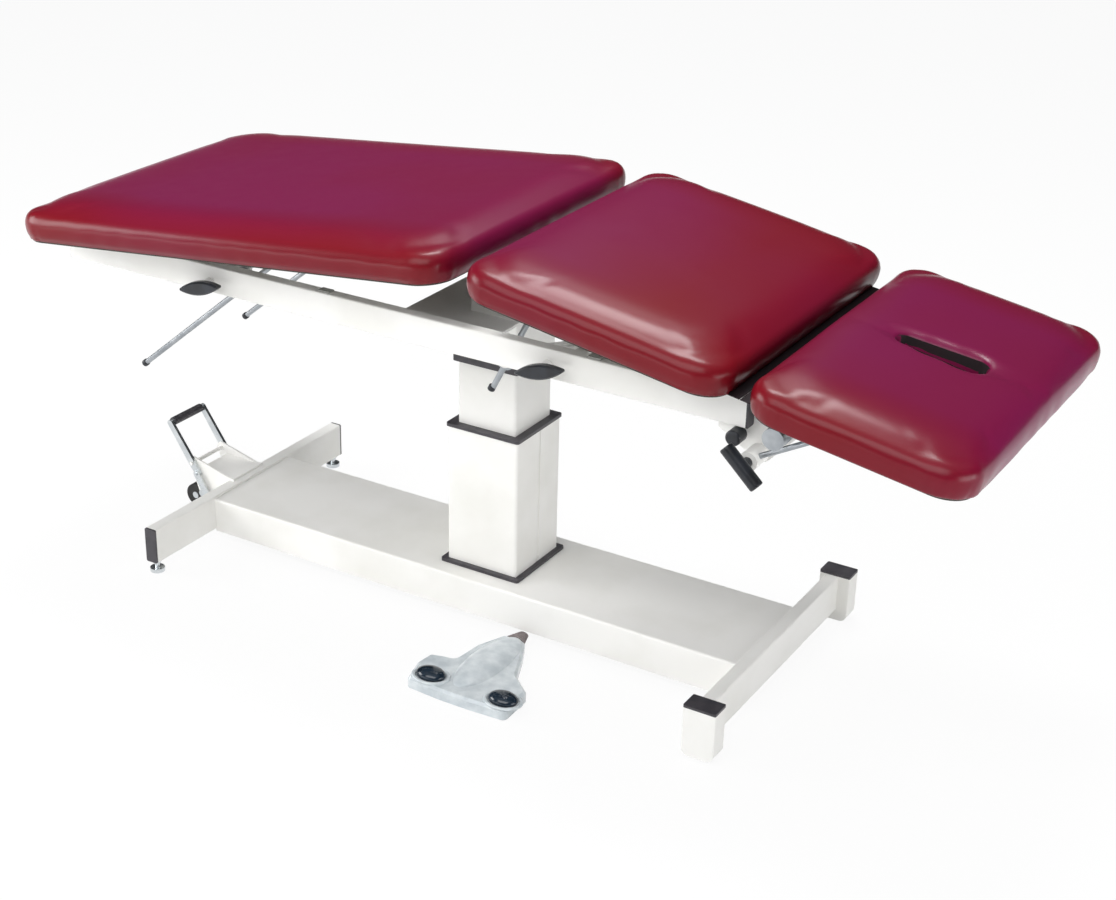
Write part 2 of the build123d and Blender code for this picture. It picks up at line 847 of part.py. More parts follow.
def seat_arm():
    """Near arm of the seat section."""
    end = seat_pad_right - arm_end_inset / 2
    start = seat_pad_left + arm_end_inset / 2
    tube = arm(start, end, arm_wall)
    tube -= block(
        main_hinge[0] - seat_ear_tops[0][0], end + overrun, -arm_outer - overrun, -arm_outer + ear_thickness,
        board_underside - arm_height - overrun, board_underside + overrun,
    )
    pin = turned(along(seat_lock, seat_strut_angle, seat_strut_reach), main_hinge, seat_tilt)
    windows = (seat_window_back, seat_window_front, seat_window_down, seat_window_up)
    return main_ear(-1, -arm_outer, seat_ear_tops) + tube + clevis(pin, strut_y, windows, arm_inner)


def head_arm():
    """Near arm of the head section, before any bracket is added."""
    start = main_hinge[0] + main_arm_gap
    tube = arm(start, head_pad_right - arm_end_inset, arm_wall)
    y0 = -arm_inner - ear_thickness
    tube -= block(
        start - overrun, main_hinge[0] + head_ear_tops[0][0], y0, -arm_inner + overrun,
        board_underside - arm_height - overrun, board_underside + overrun,
    )
    return main_ear(1, y0, head_ear_tops) + tube


def head_clevis():
    """Clevis for the head strut, reaching out from the near arm."""
    pin = turned(along(clamp_centre, head_strut_angle, head_strut_reach), main_hinge, -head_tilt)
    windows = (head_window_back, head_window_front, head_window_down, head_window_up)
    return clevis(pin, head_strut_y, windows, arm_outer)


# Head hinge and clamp


def hinge_bracket():
    """Plate on the inner face of the near rail that carries the hinge tube."""
    root_height = rail_top - bumper_gap - bracket_low
    root = Pos(bracket_left + bracket_root_length / 2, bracket_low + root_height / 2) * Rectangle(
        bracket_root_length, root_height
    )
    outline = strap(
        root, disc(main_hinge, main_ear_radius), disc(clamp_centre, clamp_boss_radius), disc(knob_centre, knob_radius)
    )
    outline -= disc(knob_centre, knob_stud_radius + fit)
    outline -= disc(main_hinge, main_tube_radius)
    return plate(outline, -rail_inner, -rail_inner + bracket_thickness)


def near_hinge_bracket():
    """Near bracket with the stud that the clamp turns on."""
    y0 = -rail_inner - clamp_pin_length
    return hinge_bracket() + cross_bar(clamp_centre, clamp_pin_radius, y0, -rail_inner)


def hinge_tube():
    """Cross tube that both the seat and the head sections turn on."""
    tube = cross_bar(main_hinge, main_tube_radius, -main_tube_half_length, main_tube_half_length)
    bore = main_tube_radius - main_tube_wall
    return tube - cross_bar(
        main_hinge, bore, -main_tube_half_length - overrun, main_tube_half_length + overrun
    )


def hinge_tube_plug():
    """Plug in the near end of the hinge tube."""
    y0 = -main_tube_half_length - main_tube_plug
    plug = cross_bar(main_hinge, main_tube_radius, y0, -main_tube_half_length)
    bore = main_tube_radius - main_tube_wall
    return plug + cross_bar(main_hinge, bore, -main_tube_half_length, -main_tube_half_length + overrun)


def foot_hinge_pin():
    """Pin through the near rail into the foot section's ear."""
    inner = -arm_outer + ear_thickness + pin_head
    pin = cross_bar(foot_hinge, foot_hinge_radius, -rail_outer - pin_head, inner)
    return pin + cross_bar(foot_hinge, foot_hinge_radius + pin_head, -rail_outer - pin_head, -rail_outer)


def head_clamp():
    """Barrel that swivels on its stud and grips the head strut."""
    y1 = -rail_inner - clamp_gap
    y0 = y1 - clamp_width
    barrel = cross_bar(clamp_centre, clamp_radius, y0, y1)
    pin_end = -rail_inner - clamp_pin_length - running_gap
    barrel -= cross_bar(clamp_centre, clamp_pin_radius + fit, pin_end, y1 + overrun)
    barrel -= cross_bar(clamp_centre, screw_radius + fit, y0 - overrun, -head_strut_y)
    start = along(clamp_centre, head_strut_angle, -clamp_radius - overrun)
    end = along(clamp_centre, head_strut_angle, clamp_radius + overrun)
    return barrel - slanted_bar(start, end, -head_strut_y, head_strut_radius + fit)


def head_strut():
    """Rod from the clamp to the head board."""
    pin = along(clamp_centre, head_strut_angle, head_strut_reach)
    start = along(clamp_centre, head_strut_angle, -head_strut_tail)
    end = along(clamp_centre, head_strut_angle, head_strut_reach + cross_pin_inset)
    rod = slanted_bar(start, end, -head_strut_y, head_strut_radius)
    return rod + cross_bar(
        pin, cross_pin_radius, -head_strut_y - cross_pin_half_length, -head_strut_y + cross_pin_half_length
    )


def tee_handle():
    """Tee handle whose screw presses on the strut."""
    half = tee_length / 2
    grip = slanted_bar(
        along(clamp_centre, tee_angle, -half), along(clamp_centre, tee_angle, half), -tee_y, tee_radius
    )
    grip = fillet(grip.edges().filter_by(GeomType.CIRCLE), tee_round)
    hub_end = -rail_inner - clamp_gap - clamp_width - running_gap
    hub = cross_bar(clamp_centre, tee_hub_radius, -tee_y, hub_end)
    tip = -head_strut_y - head_strut_radius - screw_tip_gap
    return grip + hub + cross_bar(clamp_centre, screw_radius, -tee_y, tip)


def clamp_knob():
    """Round knob with its stud through the near bracket."""
    knob = cross_bar(knob_centre, knob_radius, -knob_outer_y, -knob_inner_y)
    knob = fillet(knob.edges().group_by(Axis.Y)[0], knob_round)
    return knob + cross_bar(knob_centre, knob_stud_radius, -knob_inner_y, -rail_inner + bracket_thickness)


# Caster pedal


def caster_bracket():
    """Welded bracket: top plate, two side plates and the shaft the pedal turns on."""
    tube_left = plank_left - foot_tube_width
    inside = caster_plate_half - caster_plate_wall
    z1 = foot_tube_top + caster_top_plate
    top_right = tube_left + foot_tube_width / 2
    bracket = block(caster_bracket_left, top_right, -caster_plate_half, caster_plate_half, foot_tube_top, z1)
    root_height = z1 - caster_bracket_low
    root = Pos(tube_left - caster_bracket_root / 2, caster_bracket_low + root_height / 2) * Rectangle(
        caster_bracket_root, root_height
    )
    outline = strap(root, disc(rocker_centre, rocker_ear_radius), disc(pedal_pivot, pedal_ear_radius))
    outline -= disc(rocker_centre, rocker_shaft_radius + fit)
    side = plate(outline, -caster_plate_half, -inside)
    shaft_end = caster_plate_half + running_gap + pedal_bar_thickness + pin_head
    return bracket + side + far(side) + cross_bar(pedal_pivot, pedal_pivot_radius, -shaft_end, shaft_end)


def pedal_plane():
    """Outer face, inner face of the pedal's side bars, measured across the table."""
    inner = caster_plate_half + running_gap
    return -inner - pedal_bar_thickness, -inner


def pedal_loop():
    """Foot loop: two side bars with eyes, a top bar and the pins for the links."""
    y0, y1 = pedal_plane()
    outline = strap(disc(pedal_top, pedal_end_radius), disc(pedal_pivot, pedal_eye_radius))
    outline += strap(disc(pedal_pivot, pedal_eye_radius), disc(link_pin, link_eye_radius))
    outline -= disc(pedal_pivot, pedal_pivot_radius + fit)
    side = plate(outline, y0, y1)
    side += cross_bar(link_pin, link_pin_radius, y0 - running_gap - link_thickness - overrun / 2, y0)
    return side + far(side) + cross_bar(pedal_top, pedal_bar_radius, y1, -y1)


def pedal_grip():
    """Black sleeve on the top bar."""
    sleeve = cross_bar(pedal_top, pedal_grip_radius, -pedal_grip_half_length, pedal_grip_half_length)
    return sleeve - cross_bar(
        pedal_top, pedal_bar_radius, -pedal_grip_half_length - overrun, pedal_grip_half_length + overrun
    )


def caster_link():
    """Link from the pedal to the rocker, with a loose hole at its lower end."""
    y1 = pedal_plane()[0] - running_gap
    y0 = y1 - link_thickness
    outline = strap(disc(link_pin, link_eye_radius), disc(rocker_pin, link_foot_eye_radius))
    outline -= disc(link_pin, link_pin_radius + fit)
    outline -= disc(rocker_pin, link_pin_radius + link_slack)
    return plate(outline, y0, y1)


def caster_rocker():
    """Yoke that carries both casters, turned by a crank outside each side plate."""
    y0, y1 = pedal_plane()
    yoke = plate(
        strap(disc(rocker_centre, yoke_round), disc(caster_centre, yoke_round)), -yoke_half_width, yoke_half_width
    )
    shaft = cross_bar(rocker_centre, rocker_shaft_radius, y0, -y0)
    ring_start = -caster_centre_y - caster_width / 2 - running_gap
    ring_end = ring_start - caster_ring_width
    axle = cross_bar(caster_centre, caster_axle_radius, ring_end, -ring_end)
    ring = cross_bar(caster_centre, caster_ring_radius, ring_end, ring_start)
    crank = plate(strap(disc(rocker_centre, pedal_eye_radius), disc(rocker_pin, link_eye_radius)), y0, y1)
    crank += cross_bar(rocker_pin, link_pin_radius, y0 - running_gap - link_thickness - overrun / 2, y0)
    return yoke + shaft + axle + ring + far(ring) + crank + far(crank)


def caster_wheel():
    """Near one of the two small wheels."""
    y0, y1 = -caster_centre_y - caster_width / 2, -caster_centre_y + caster_width / 2
    wheel = cross_bar(caster_centre, caster_radius, y0, y1)
    return wheel - cross_bar(caster_centre, caster_axle_radius + fit, y0 - overrun, y1 + overrun)


# Foot control


def control_point(x_share, y_share):
    """Place on the foot control from shares of its width and depth."""
    return (control_left + x_share * control_width, control_front + y_share * control_depth)


def treadle_place(x_share):
    return control_point(x_share, treadle_y_share)


def foot_control():
    """Low moulded body with a hole under each treadle."""
    points = [control_point(*share) for share in control_outline_shares]
    outline = make_face(Polyline(points, close=True))
    outline = fillet(outline.vertices(), control_corner)
    body = extrude(outline, control_height)
    body = chamfer(body.edges().group_by(Axis.Z)[-1], control_round)
    for share in (raise_x_share, lower_x_share):
        x, y = treadle_place(share)
        hole = Cylinder(
            treadle_stem_radius + fit, treadle_stem_depth + overrun, align=(Align.CENTER, Align.CENTER, Align.MAX)
        )
        body -= Pos(x, y, control_height + overrun / 2) * hole
    return body


def control_boot():
    """Rubber boot from the narrow end of the foot control to the side of the plank."""
    x0, y0 = control_point(boot_left_share, 1)
    x1 = control_point(boot_right_share, 1)[0]
    middle, back = (x0 + x1) / 2, y0 + boot_length
    top_length = boot_length * boot_top_share
    lower = Pos(middle, back - boot_length / 2, 0) * Rectangle(x1 - x0, boot_length)
    upper = Pos(middle, back - top_length / 2, boot_height) * Rectangle((x1 - x0) * boot_top_share, top_length)
    return loft([lower, upper])


def treadle(share):
    """Oval pedal on a sprung stem."""
    x, y = treadle_place(share)
    z0 = control_height + treadle_lift
    top = extrude(Pos(x, y, z0) * Ellipse(treadle_length / 2, treadle_width / 2), treadle_thickness)
    top = fillet(top.edges().group_by(Axis.Z)[-1], treadle_round)
    bottom = control_height - treadle_stem_depth + treadle_lift + overrun / 2
    stem = extrude(Pos(x, y, bottom) * Circle(treadle_stem_radius), z0 - bottom)
    return top + stem


# Nodes of the base
keep("base_plank", base_plank())
keep("foot_end_tube", foot_end_tube())
keep("head_end_tube", head_end_tube())
near_leg = leg()
keep("head_end_legs", near_leg, far(near_leg))
near_leg_cap = leg_cap()
keep("base_end_caps", near_leg_cap, far(near_leg_cap), *foot_end_caps())
near_axle = leg_axle()
keep("leg_axles", near_axle, far(near_axle))
near_wheel = leg_wheel()
keep("near_leg_wheel", near_wheel)
keep("far_leg_wheel", far(near_wheel))
keep("levelling_feet", *levelling_feet())
keep("mains_gland", mains_gland())

# Nodes of the column
keep("column_outer_tube", column_outer_tube())
keep(
    "column_collars",
    square_ring(
        column_half + base_collar_overhang, column_half, plank_top, plank_top + collar_height, column_corner
    ),
    square_ring(
        column_half + top_collar_overhang, inner_half + collar_gap,
        column_top, column_top + collar_height, column_corner,
    ),
)
keep("column_guide_pads", *column_guides())
keep("lift_actuator", lift_actuator())
keep("actuator_rod", actuator_rod())
inner_tube = square_ring(inner_half, inner_half - column_wall, inner_bottom, rail_bottom, column_corner)
keep("column_inner_tube", inner_tube)
ring_top = inner_ring_bottom + inner_ring_height
inner_ring = square_ring(inner_half + inner_ring_wall, inner_half, inner_ring_bottom, ring_top, column_corner)
keep("inner_tube_ring", inner_ring)

# Nodes of the lifted frame
head_box = square_ring(inner_half + head_box_wall, inner_half, ring_top, rail_bottom, column_corner)
keep("column_head", top_plate(), head_box)
keep("control_box", control_box())
near_rail = rail()
keep("near_rail", near_rail)
keep("far_rail", far(near_rail))
near_rail_cap = rail_cap()
keep("frame_end_caps", near_rail_cap, far(near_rail_cap))
keep("rail_cross_tubes", cross_tube(foot_cross_tube_x), cross_tube(seat_cross_tube_x))
keep("rail_bumpers", *bumpers())
keep(
    "lock_cheeks",
    *lock_cheeks(foot_lock, foot_release, foot_cross_tube_x),
    *lock_cheeks(seat_lock, seat_release, seat_cross_tube_x),
)
keep("hinge_brackets", near_hinge_bracket(), far(hinge_bracket()))
near_plug = hinge_tube_plug()
keep("hinge_tube", hinge_tube(), near_plug, far(near_plug))
near_hinge_pin = foot_hinge_pin()
keep("foot_hinge_pins", near_hinge_pin, far(near_hinge_pin))
bushes = [bush(foot_release), bush(seat_release)]
keep("shaft_bushes", *bushes, *[far(piece) for piece in bushes])

# Nodes of the three padded sections, turned to the tilt they stand at
foot_board = board(foot_pad_left, foot_pad_right)
near_foot_arm = foot_arm()
for name, solids in (
    ("foot_board", [foot_board]),
    ("foot_pad", [pad(foot_pad_left, foot_pad_right) - foot_board]),
    ("foot_frame_arms", [near_foot_arm, far(near_foot_arm)]),
):
    keep(name, *[tilted(solid, foot_hinge, foot_tilt) for solid in solids])

seat_board = board(seat_pad_left, seat_pad_right)
near_seat_arm = seat_arm()
for name, solids in (
    ("seat_board", [seat_board]),
    ("seat_pad", [pad(seat_pad_left, seat_pad_right) - seat_board]),
    ("seat_frame_arms", [near_seat_arm, far(near_seat_arm)]),
):
    keep(name, *[tilted(solid, main_hinge, -seat_tilt) for solid in solids])

slot_cut, slot_lip = face_slot()
head_board = board(head_pad_left, head_pad_right) - slot_cut
head_pad = pad(head_pad_left, head_pad_right) - slot_cut - slot_lip - head_board
near_head_arm = head_arm()
for name, solids in (
    ("head_board", [head_board]),
    ("head_pad", [head_pad]),
    ("head_frame_arms", [near_head_arm + head_clevis(), far(near_head_arm)]),
):
    keep(name, *[tilted(solid, main_hinge, head_tilt) for solid in solids])

# Nodes of the supports and releases
keep("foot_locks", *lock_body(foot_lock, foot_strut_angle))
keep("foot_support_rods", *support_rod(foot_lock, foot_strut_angle, foot_strut_reach, foot_strut_tail))
keep("seat_locks", *lock_body(seat_lock, seat_strut_angle))
keep("seat_support_rods", *support_rod(seat_lock, seat_strut_angle, seat_strut_reach, seat_strut_tail))
for name, release, lock in (("foot", foot_release, foot_lock), ("seat", seat_release, seat_lock)):
    keep(name + "_release_shaft", release_shaft(release, lock))
    near_paddle = paddle(release)
    keep(name + "_release_paddles", near_paddle, far(near_paddle))
keep("head_clamp", head_clamp())
keep("head_strut", head_strut())
keep("tee_handle", tee_handle())
keep("clamp_knob", clamp_knob())

# Nodes of the caster pedal
keep("caster_bracket", caster_bracket())
keep("pedal_loop", pedal_loop())
keep("pedal_grip", pedal_grip())
near_link = caster_link()
keep("caster_links", near_link, far(near_link))
keep("caster_rocker", caster_rocker())
near_caster = caster_wheel()
keep("caster_wheels", near_caster, far(near_caster))

# Nodes of the foot control
keep("foot_control_body", foot_control())
keep("foot_control_boot", control_boot())
keep("raise_treadle", treadle(raise_x_share))
keep("lower_treadle", treadle(lower_x_share))

os.makedirs("parts", exist_ok=True)
for name, shape in parts.items():
    export_step(shape, os.path.join("parts", name + ".step"))
print(len(parts), "nodes written")
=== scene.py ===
# %% [markdown]
# # A treatment table, dressed around its CAD frame
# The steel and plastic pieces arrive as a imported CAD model. This script gives them
# their finishes, swaps the three plain pads for upholstered ones and adds the small
# fittings that a solid model leaves out. All lengths are in metres.

# %% Load the frame
import json

import bmesh
import bpy
import numpy as np
from math import cos, radians, sin
from mathutils import Matrix, Vector


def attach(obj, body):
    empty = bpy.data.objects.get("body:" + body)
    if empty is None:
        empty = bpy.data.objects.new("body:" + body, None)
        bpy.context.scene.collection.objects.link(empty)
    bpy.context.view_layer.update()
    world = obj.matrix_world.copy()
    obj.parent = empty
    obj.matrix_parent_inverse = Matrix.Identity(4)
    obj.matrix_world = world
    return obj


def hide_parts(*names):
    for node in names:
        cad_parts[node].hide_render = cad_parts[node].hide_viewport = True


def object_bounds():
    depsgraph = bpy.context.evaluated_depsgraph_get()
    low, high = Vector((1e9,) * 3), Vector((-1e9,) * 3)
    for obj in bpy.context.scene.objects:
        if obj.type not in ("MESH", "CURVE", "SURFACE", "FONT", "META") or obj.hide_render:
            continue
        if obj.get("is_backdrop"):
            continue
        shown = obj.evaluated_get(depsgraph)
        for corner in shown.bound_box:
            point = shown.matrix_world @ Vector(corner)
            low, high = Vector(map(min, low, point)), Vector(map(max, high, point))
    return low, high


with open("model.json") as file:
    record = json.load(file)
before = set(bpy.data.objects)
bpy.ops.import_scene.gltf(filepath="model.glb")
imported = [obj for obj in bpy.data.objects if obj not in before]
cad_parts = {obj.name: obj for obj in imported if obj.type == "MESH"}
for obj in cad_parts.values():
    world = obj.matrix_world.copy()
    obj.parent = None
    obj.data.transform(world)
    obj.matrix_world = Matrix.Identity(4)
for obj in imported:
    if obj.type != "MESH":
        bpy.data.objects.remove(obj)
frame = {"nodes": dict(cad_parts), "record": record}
cad_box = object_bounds()
scene = bpy.context.scene
print("CAD nodes:", len(frame["nodes"]))

# %% [markdown]
# ## Camera
# The photograph looks down at the table from its near side, turned towards the head
# end. A long lens keeps the two end pads alike in scale. The camera is placed by its
# azimuth, elevation and a small roll, which are easier to reason about than Euler
# angles, and its three axes are then written into a matrix.

# %% Place the camera
CAMERA_PLACE = Vector((1.8170, -2.9101, 1.9310))
CAMERA_AZIMUTH = radians(30.23)
CAMERA_ELEVATION = radians(25.08)
CAMERA_ROLL = radians(1.45)
CAMERA_LENS = 62.78
SENSOR_WIDTH = 36


def camera_axes(azimuth, elevation, roll):
    """Right, up and backward directions of a camera."""
    back = Vector((sin(azimuth) * cos(elevation), -cos(azimuth) * cos(elevation), sin(elevation)))
    level = Vector((cos(azimuth), sin(azimuth), 0))
    rise = back.cross(level)
    right = level * cos(roll) + rise * sin(roll)
    return right, back.cross(right), back


bpy.ops.object.camera_add()
camera = bpy.context.object
camera.data.lens = CAMERA_LENS
camera.data.sensor_width = SENSOR_WIDTH
right, up, back = camera_axes(CAMERA_AZIMUTH, CAMERA_ELEVATION, CAMERA_ROLL)
turned = Matrix((right, up, back)).transposed().to_4x4()
camera.matrix_world = Matrix.Translation(CAMERA_PLACE) @ turned
scene.camera = camera
scene.view_settings.view_transform = "Standard"
print("camera looks along", -back)

# %% [markdown]
# ## Nodes and colours
# Every finish is a small graph of shader nodes. One helper adds a node, sets its
# options and fills its sockets, and three short ones built on it make the parts that
# most finishes share: a colour between two paints, a fine relief and the surface
# itself. Colours are written as the hex values that a paint chart gives, which are
# sRGB, while Blender mixes light in linear values, so one function converts them.

# %% Helpers for materials
MILLIMETRE = 0.001


def paint(hex_value):
    """Linear colour for an sRGB hex value."""
    channels = [int(hex_value[i : i + 2], 16) / 255 for i in (1, 3, 5)]
    return [c / 12.92 if c <= 0.04045 else ((c + 0.055) / 1.055) ** 2.4 for c in channels] + [1]


def repeats(millimetres):
    """Texture scale for a pattern that repeats about every so many millimetres."""
    return 1 / (millimetres * MILLIMETRE)


def add_node(tree, kind, sockets=None, **options):
    """Add a node; sockets maps a socket's name or number to a value or to an output socket."""
    node = tree.nodes.new("ShaderNode" + kind)
    for name, value in options.items():
        setattr(node, name, value)
    for key, value in (sockets or {}).items():
        if isinstance(value, bpy.types.NodeSocket):
            tree.links.new(value, node.inputs[key])
        else:
            node.inputs[key].default_value = value
    return node


def new_material(name):
    """Empty material with its output node and the object's own coordinates."""
    material = bpy.data.materials.new(name)
    material.use_nodes = True
    tree = material.node_tree
    tree.nodes.clear()
    place = add_node(tree, "TexCoord").outputs["Object"]
    output = add_node(tree, "OutputMaterial")
    return material, tree, place, output


def two_tone(tree, pattern, low, dark, high, light):
    """Colour that runs from one paint to another between two levels of a pattern."""
    tone = add_node(tree, "ValToRGB", {"Fac": pattern})
    for stop, level, hex_value in zip(tone.color_ramp.elements, (low, high), (dark, light)):
        stop.position = level
        stop.color = paint(hex_value)
    return tone.outputs["Color"]


def relief(tree, pattern, strength, depth):
    """Surface direction over a pattern of the given depth in millimetres."""
    sockets = {"Height": pattern, "Strength": strength, "Distance": depth * MILLIMETRE}
    return add_node(tree, "Bump", sockets).outputs["Normal"]


def close_surface(tree, output, sockets):
    """Principled surface, joined to the material's output."""
    skin = add_node(tree, "BsdfPrincipled", sockets)
    tree.links.new(skin.outputs[0], output.inputs["Surface"])


# %% [markdown]
# ## Floor and light
# The object stood in a white sweep, and the camera looks down at it, so the floor
# fills the whole background. The floor is white for the camera and for reflections,
# but it still darkens a little under the table, because part of its colour comes from
# the light that reaches it. The room is dim up to about forty degrees above the
# horizon and pale overhead, so the pads' glossy tops keep their colour when seen from
# the side. A softbox hangs almost above the table and draws the soft highlight on the
# pads' near shoulders, with a weak one behind it on the far side. A low strip on the
# near side draws the thin line along their sides, a large high lamp lights the near
# faces, and two more fill the faces at the head and the foot end.

# %% Floor and world
FLOOR_SIZE = 60
FLOOR_DROP = 0.0005
FLOOR_GLOW = 0.93
DIM_BELOW, DIM_LIGHT = 0.60, 0.05
PALE_ABOVE, PALE_LIGHT = 0.95, 0.75


def white_sweep_floor():
    """White floor that glows for the camera and keeps a faint shadow."""
    material, tree, place, output = new_material("sweep_floor")
    seen = add_node(tree, "LightPath")
    direct = add_node(
        tree, "Math", {0: seen.outputs["Is Camera Ray"], 1: seen.outputs["Is Glossy Ray"]}, operation="ADD",
    )
    shown = add_node(
        tree, "Math", {0: direct.outputs[0], 1: seen.outputs["Is Transmission Ray"]}, operation="MAXIMUM",
    )
    lit = add_node(tree, "BsdfDiffuse", {"Color": paint("#f0f0ef")})
    glow = add_node(tree, "Emission", {"Color": paint("#ffffff"), "Strength": 1.0})
    mixed = add_node(tree, "MixShader", {0: FLOOR_GLOW, 1: lit.outputs[0], 2: glow.outputs[0]})
    final = add_node(tree, "MixShader", {0: shown.outputs[0], 1: lit.outputs[0], 2: mixed.outputs[0]})
    tree.links.new(final.outputs[0], output.inputs["Surface"])
    return material


bpy.ops.object.select_all(action="DESELECT")
bpy.ops.mesh.primitive_plane_add(size=FLOOR_SIZE, location=(0, 0, -FLOOR_DROP))
floor = bpy.context.object
floor.name = "floor"
floor.data.materials.append(white_sweep_floor())
floor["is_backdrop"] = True

world = bpy.data.worlds.new("studio")
scene.world = world
world.use_nodes = True
sky = world.node_tree
sky.nodes.clear()
direction = add_node(sky, "TexCoord").outputs["Generated"]
height = add_node(sky, "SeparateXYZ", {0: direction}).outputs["Z"]
ceiling = add_node(
    sky, "MapRange",
    {"Value": height, "From Min": DIM_BELOW, "From Max": PALE_ABOVE, "To Min": DIM_LIGHT, "To Max": PALE_LIGHT},
)
dim = add_node(sky, "Background", {"Color": paint("#e9edf1"), "Strength": ceiling.outputs["Result"]})
add_node(sky, "OutputWorld", {"Surface": dim.outputs[0]})

# %% Lamps


def softbox(name, place, target, size, power):
    """Rectangular area lamp aimed at a point."""
    bpy.ops.object.light_add(type="AREA", location=place)
    lamp = bpy.context.object
    lamp.name = name
    lamp.data.shape = "RECTANGLE"
    lamp.data.size, lamp.data.size_y = size
    lamp.data.energy = power
    aim = Vector(target) - Vector(place)
    lamp.rotation_euler = aim.to_track_quat("-Z", "Y").to_euler()
    return lamp


softbox("overhead_softbox", (-0.3, 0.85, 3.9), (0.1, 0, 0.7), (1.5, 1.2), 100)
softbox("far_softbox", (-0.9, 2.5, 3.5), (0.3, -0.3, 0.7), (1.5, 0.9), 9)
softbox("low_near_strip", (-1.7, -3.3, 0.45), (0, 0, 0.5), (3.2, 0.4), 17)
softbox("near_fill", (0.2, -3.4, 3.6), (-0.1, 0, 0.3), (4.5, 2.6), 136)
softbox("head_fill", (3.4, -0.5, 0.8), (0.2, 0, 0.25), (2.4, 0.9), 38)
softbox("foot_fill", (-3.2, -1.5, 1.5), (-0.6, 0, 0.1), (1.8, 1.4), 64)

# %% [markdown]
# ## Vinyl
# Upholstery vinyl is a fabric coated with soft PVC, embossed with a fine leather
# grain and sealed with a clear top coat. The base is a deep burgundy that drifts at random
# between a redder and a more purple tone. On top of that, a painted sheen turns it purple away
# from the long edges, least near the head end of the middle pad: that purple stands in for the
# pale reflection on the glossy top. It turns purple away from the long edges, as if light had faded it, and
# least near the head end of the middle pad. That cause is a guess. The grain is a cell pattern about 1.5 mm
# across, and the coat gives the broad soft gloss. The real grain is nearer 0.8 mm; it is drawn coarser so that
# it shows.

# %% Burgundy vinyl
# The purple drawn in away from the long edges, and by place along the table, is a painted sheen that stands in
# for reflection.
SHEEN_FOOT_END, SHEEN_HEAD_END = -0.95, 1.05
SHEEN_NONE_AT, SHEEN_FULL_AT = 0.34, 0.21
SHEEN_MOST = 0.75
# Share of the painted purple sheen at places along the table, from 0 at the foot end to 1 at the head end.
SHEEN_ALONG_TABLE = (
    (0.02, 0.7), (0.2, 1.0), (0.45, 0.8), (0.60, 0.7),
    (0.70, 0.1), (0.79, 0.1), (0.84, 0.9), (0.98, 0.8),
)


def burgundy_vinyl():
    """Coated vinyl; its burgundy drifts at random and turns purple with a painted sheen."""
    material, tree, place, output = new_material("burgundy_upholstery_vinyl")
    drift = add_node(tree, "TexNoise", {"Vector": place, "Scale": repeats(300), "Detail": 1.0})
    along = add_node(tree, "SeparateXYZ", {0: place})
    across = add_node(tree, "Math", {0: along.outputs["Y"]}, operation="ABSOLUTE")
    sheen_across = add_node(
        tree, "MapRange",
        {"Value": across.outputs[0], "From Min": SHEEN_NONE_AT, "From Max": SHEEN_FULL_AT, "To Max": SHEEN_MOST},
    )
    station = add_node(
        tree, "MapRange", {"Value": along.outputs["X"], "From Min": SHEEN_FOOT_END, "From Max": SHEEN_HEAD_END},
    )
    sheen_along = add_node(tree, "ValToRGB", {"Fac": station.outputs[0]})
    for position, share in SHEEN_ALONG_TABLE:
        stop = sheen_along.color_ramp.elements.new(position)
        stop.color = (share, share, share, 1)
    # Painted sheen: the purple share across the pad times its share along the table.
    painted_sheen = add_node(tree, "Math", {0: sheen_across.outputs[0], 1: sheen_along.outputs["Color"]}, operation="MULTIPLY")
    tone_and_sheen = add_node(
        tree, "Math", {0: drift.outputs["Fac"], 1: 0.5, 2: painted_sheen.outputs[0]}, operation="MULTIPLY_ADD",
    )
    cells = add_node(tree, "TexVoronoi", {"Vector": place, "Scale": repeats(1.5)}, feature="DISTANCE_TO_EDGE")
    wear = add_node(tree, "TexNoise", {"Vector": place, "Scale": repeats(60), "Detail": 3.0})
    rough = add_node(tree, "MapRange", {"Value": wear.outputs["Fac"], "To Min": 0.31, "To Max": 0.40})
    # The base colour runs from red to purple over the random drift plus the painted sheen.
    close_surface(tree, output, {
        "Base Color": two_tone(tree, tone_and_sheen.outputs[0], 0.20, "#700a18", 0.95, "#701340"),
        "Roughness": rough.outputs["Result"], "IOR": 1.25,
        "Coat Weight": 0.45, "Coat Roughness": 0.22, "Coat IOR": 1.3,
        "Normal": relief(tree, cells.outputs["Distance"], 0.12, 0.2),
    })
    return material


vinyl = burgundy_vinyl()

# %% [markdown]
# ## Powder-coated steel
# The frame is mild steel, powder coated white: a baked polyester film with a slight
# orange peel, about 2 mm from crest to crest, and a satin gloss. A little grime lies
# in broad faint patches.

# %% White powder coat


def white_powder_coat():
    """Satin white coat with a slight orange peel and faint grime."""
    material, tree, place, output = new_material("white_powder_coated_steel")
    grime = add_node(tree, "TexNoise", {"Vector": place, "Scale": repeats(180), "Detail": 4.0})
    peel = add_node(tree, "TexNoise", {"Vector": place, "Scale": repeats(2), "Detail": 1.0})
    rough = add_node(tree, "MapRange", {"Value": grime.outputs["Fac"], "To Min": 0.44, "To Max": 0.34})
    close_surface(tree, output, {
        "Base Color": two_tone(tree, grime.outputs["Fac"], 0.30, "#e6e5e0", 0.60, "#f0efec"),
        "Roughness": rough.outputs["Result"], "IOR": 1.5,
        "Normal": relief(tree, peel.outputs["Fac"], 0.08, 0.1),
    })
    return material


# %% [markdown]
# ## Plastics and rubber
# End caps, collars and paddles are moulded ABS or nylon with a fine spark-eroded
# texture, near black but never fully black. Wheels and the pads of the screw feet are
# rubber, duller and a little dusty. The bumpers on the rails are guessed pieces, drawn
# pale so that they don't stand out. The foot control is an enamelled casting with
# glossy treadles.

# %% Plastics, rubber and grey enamel


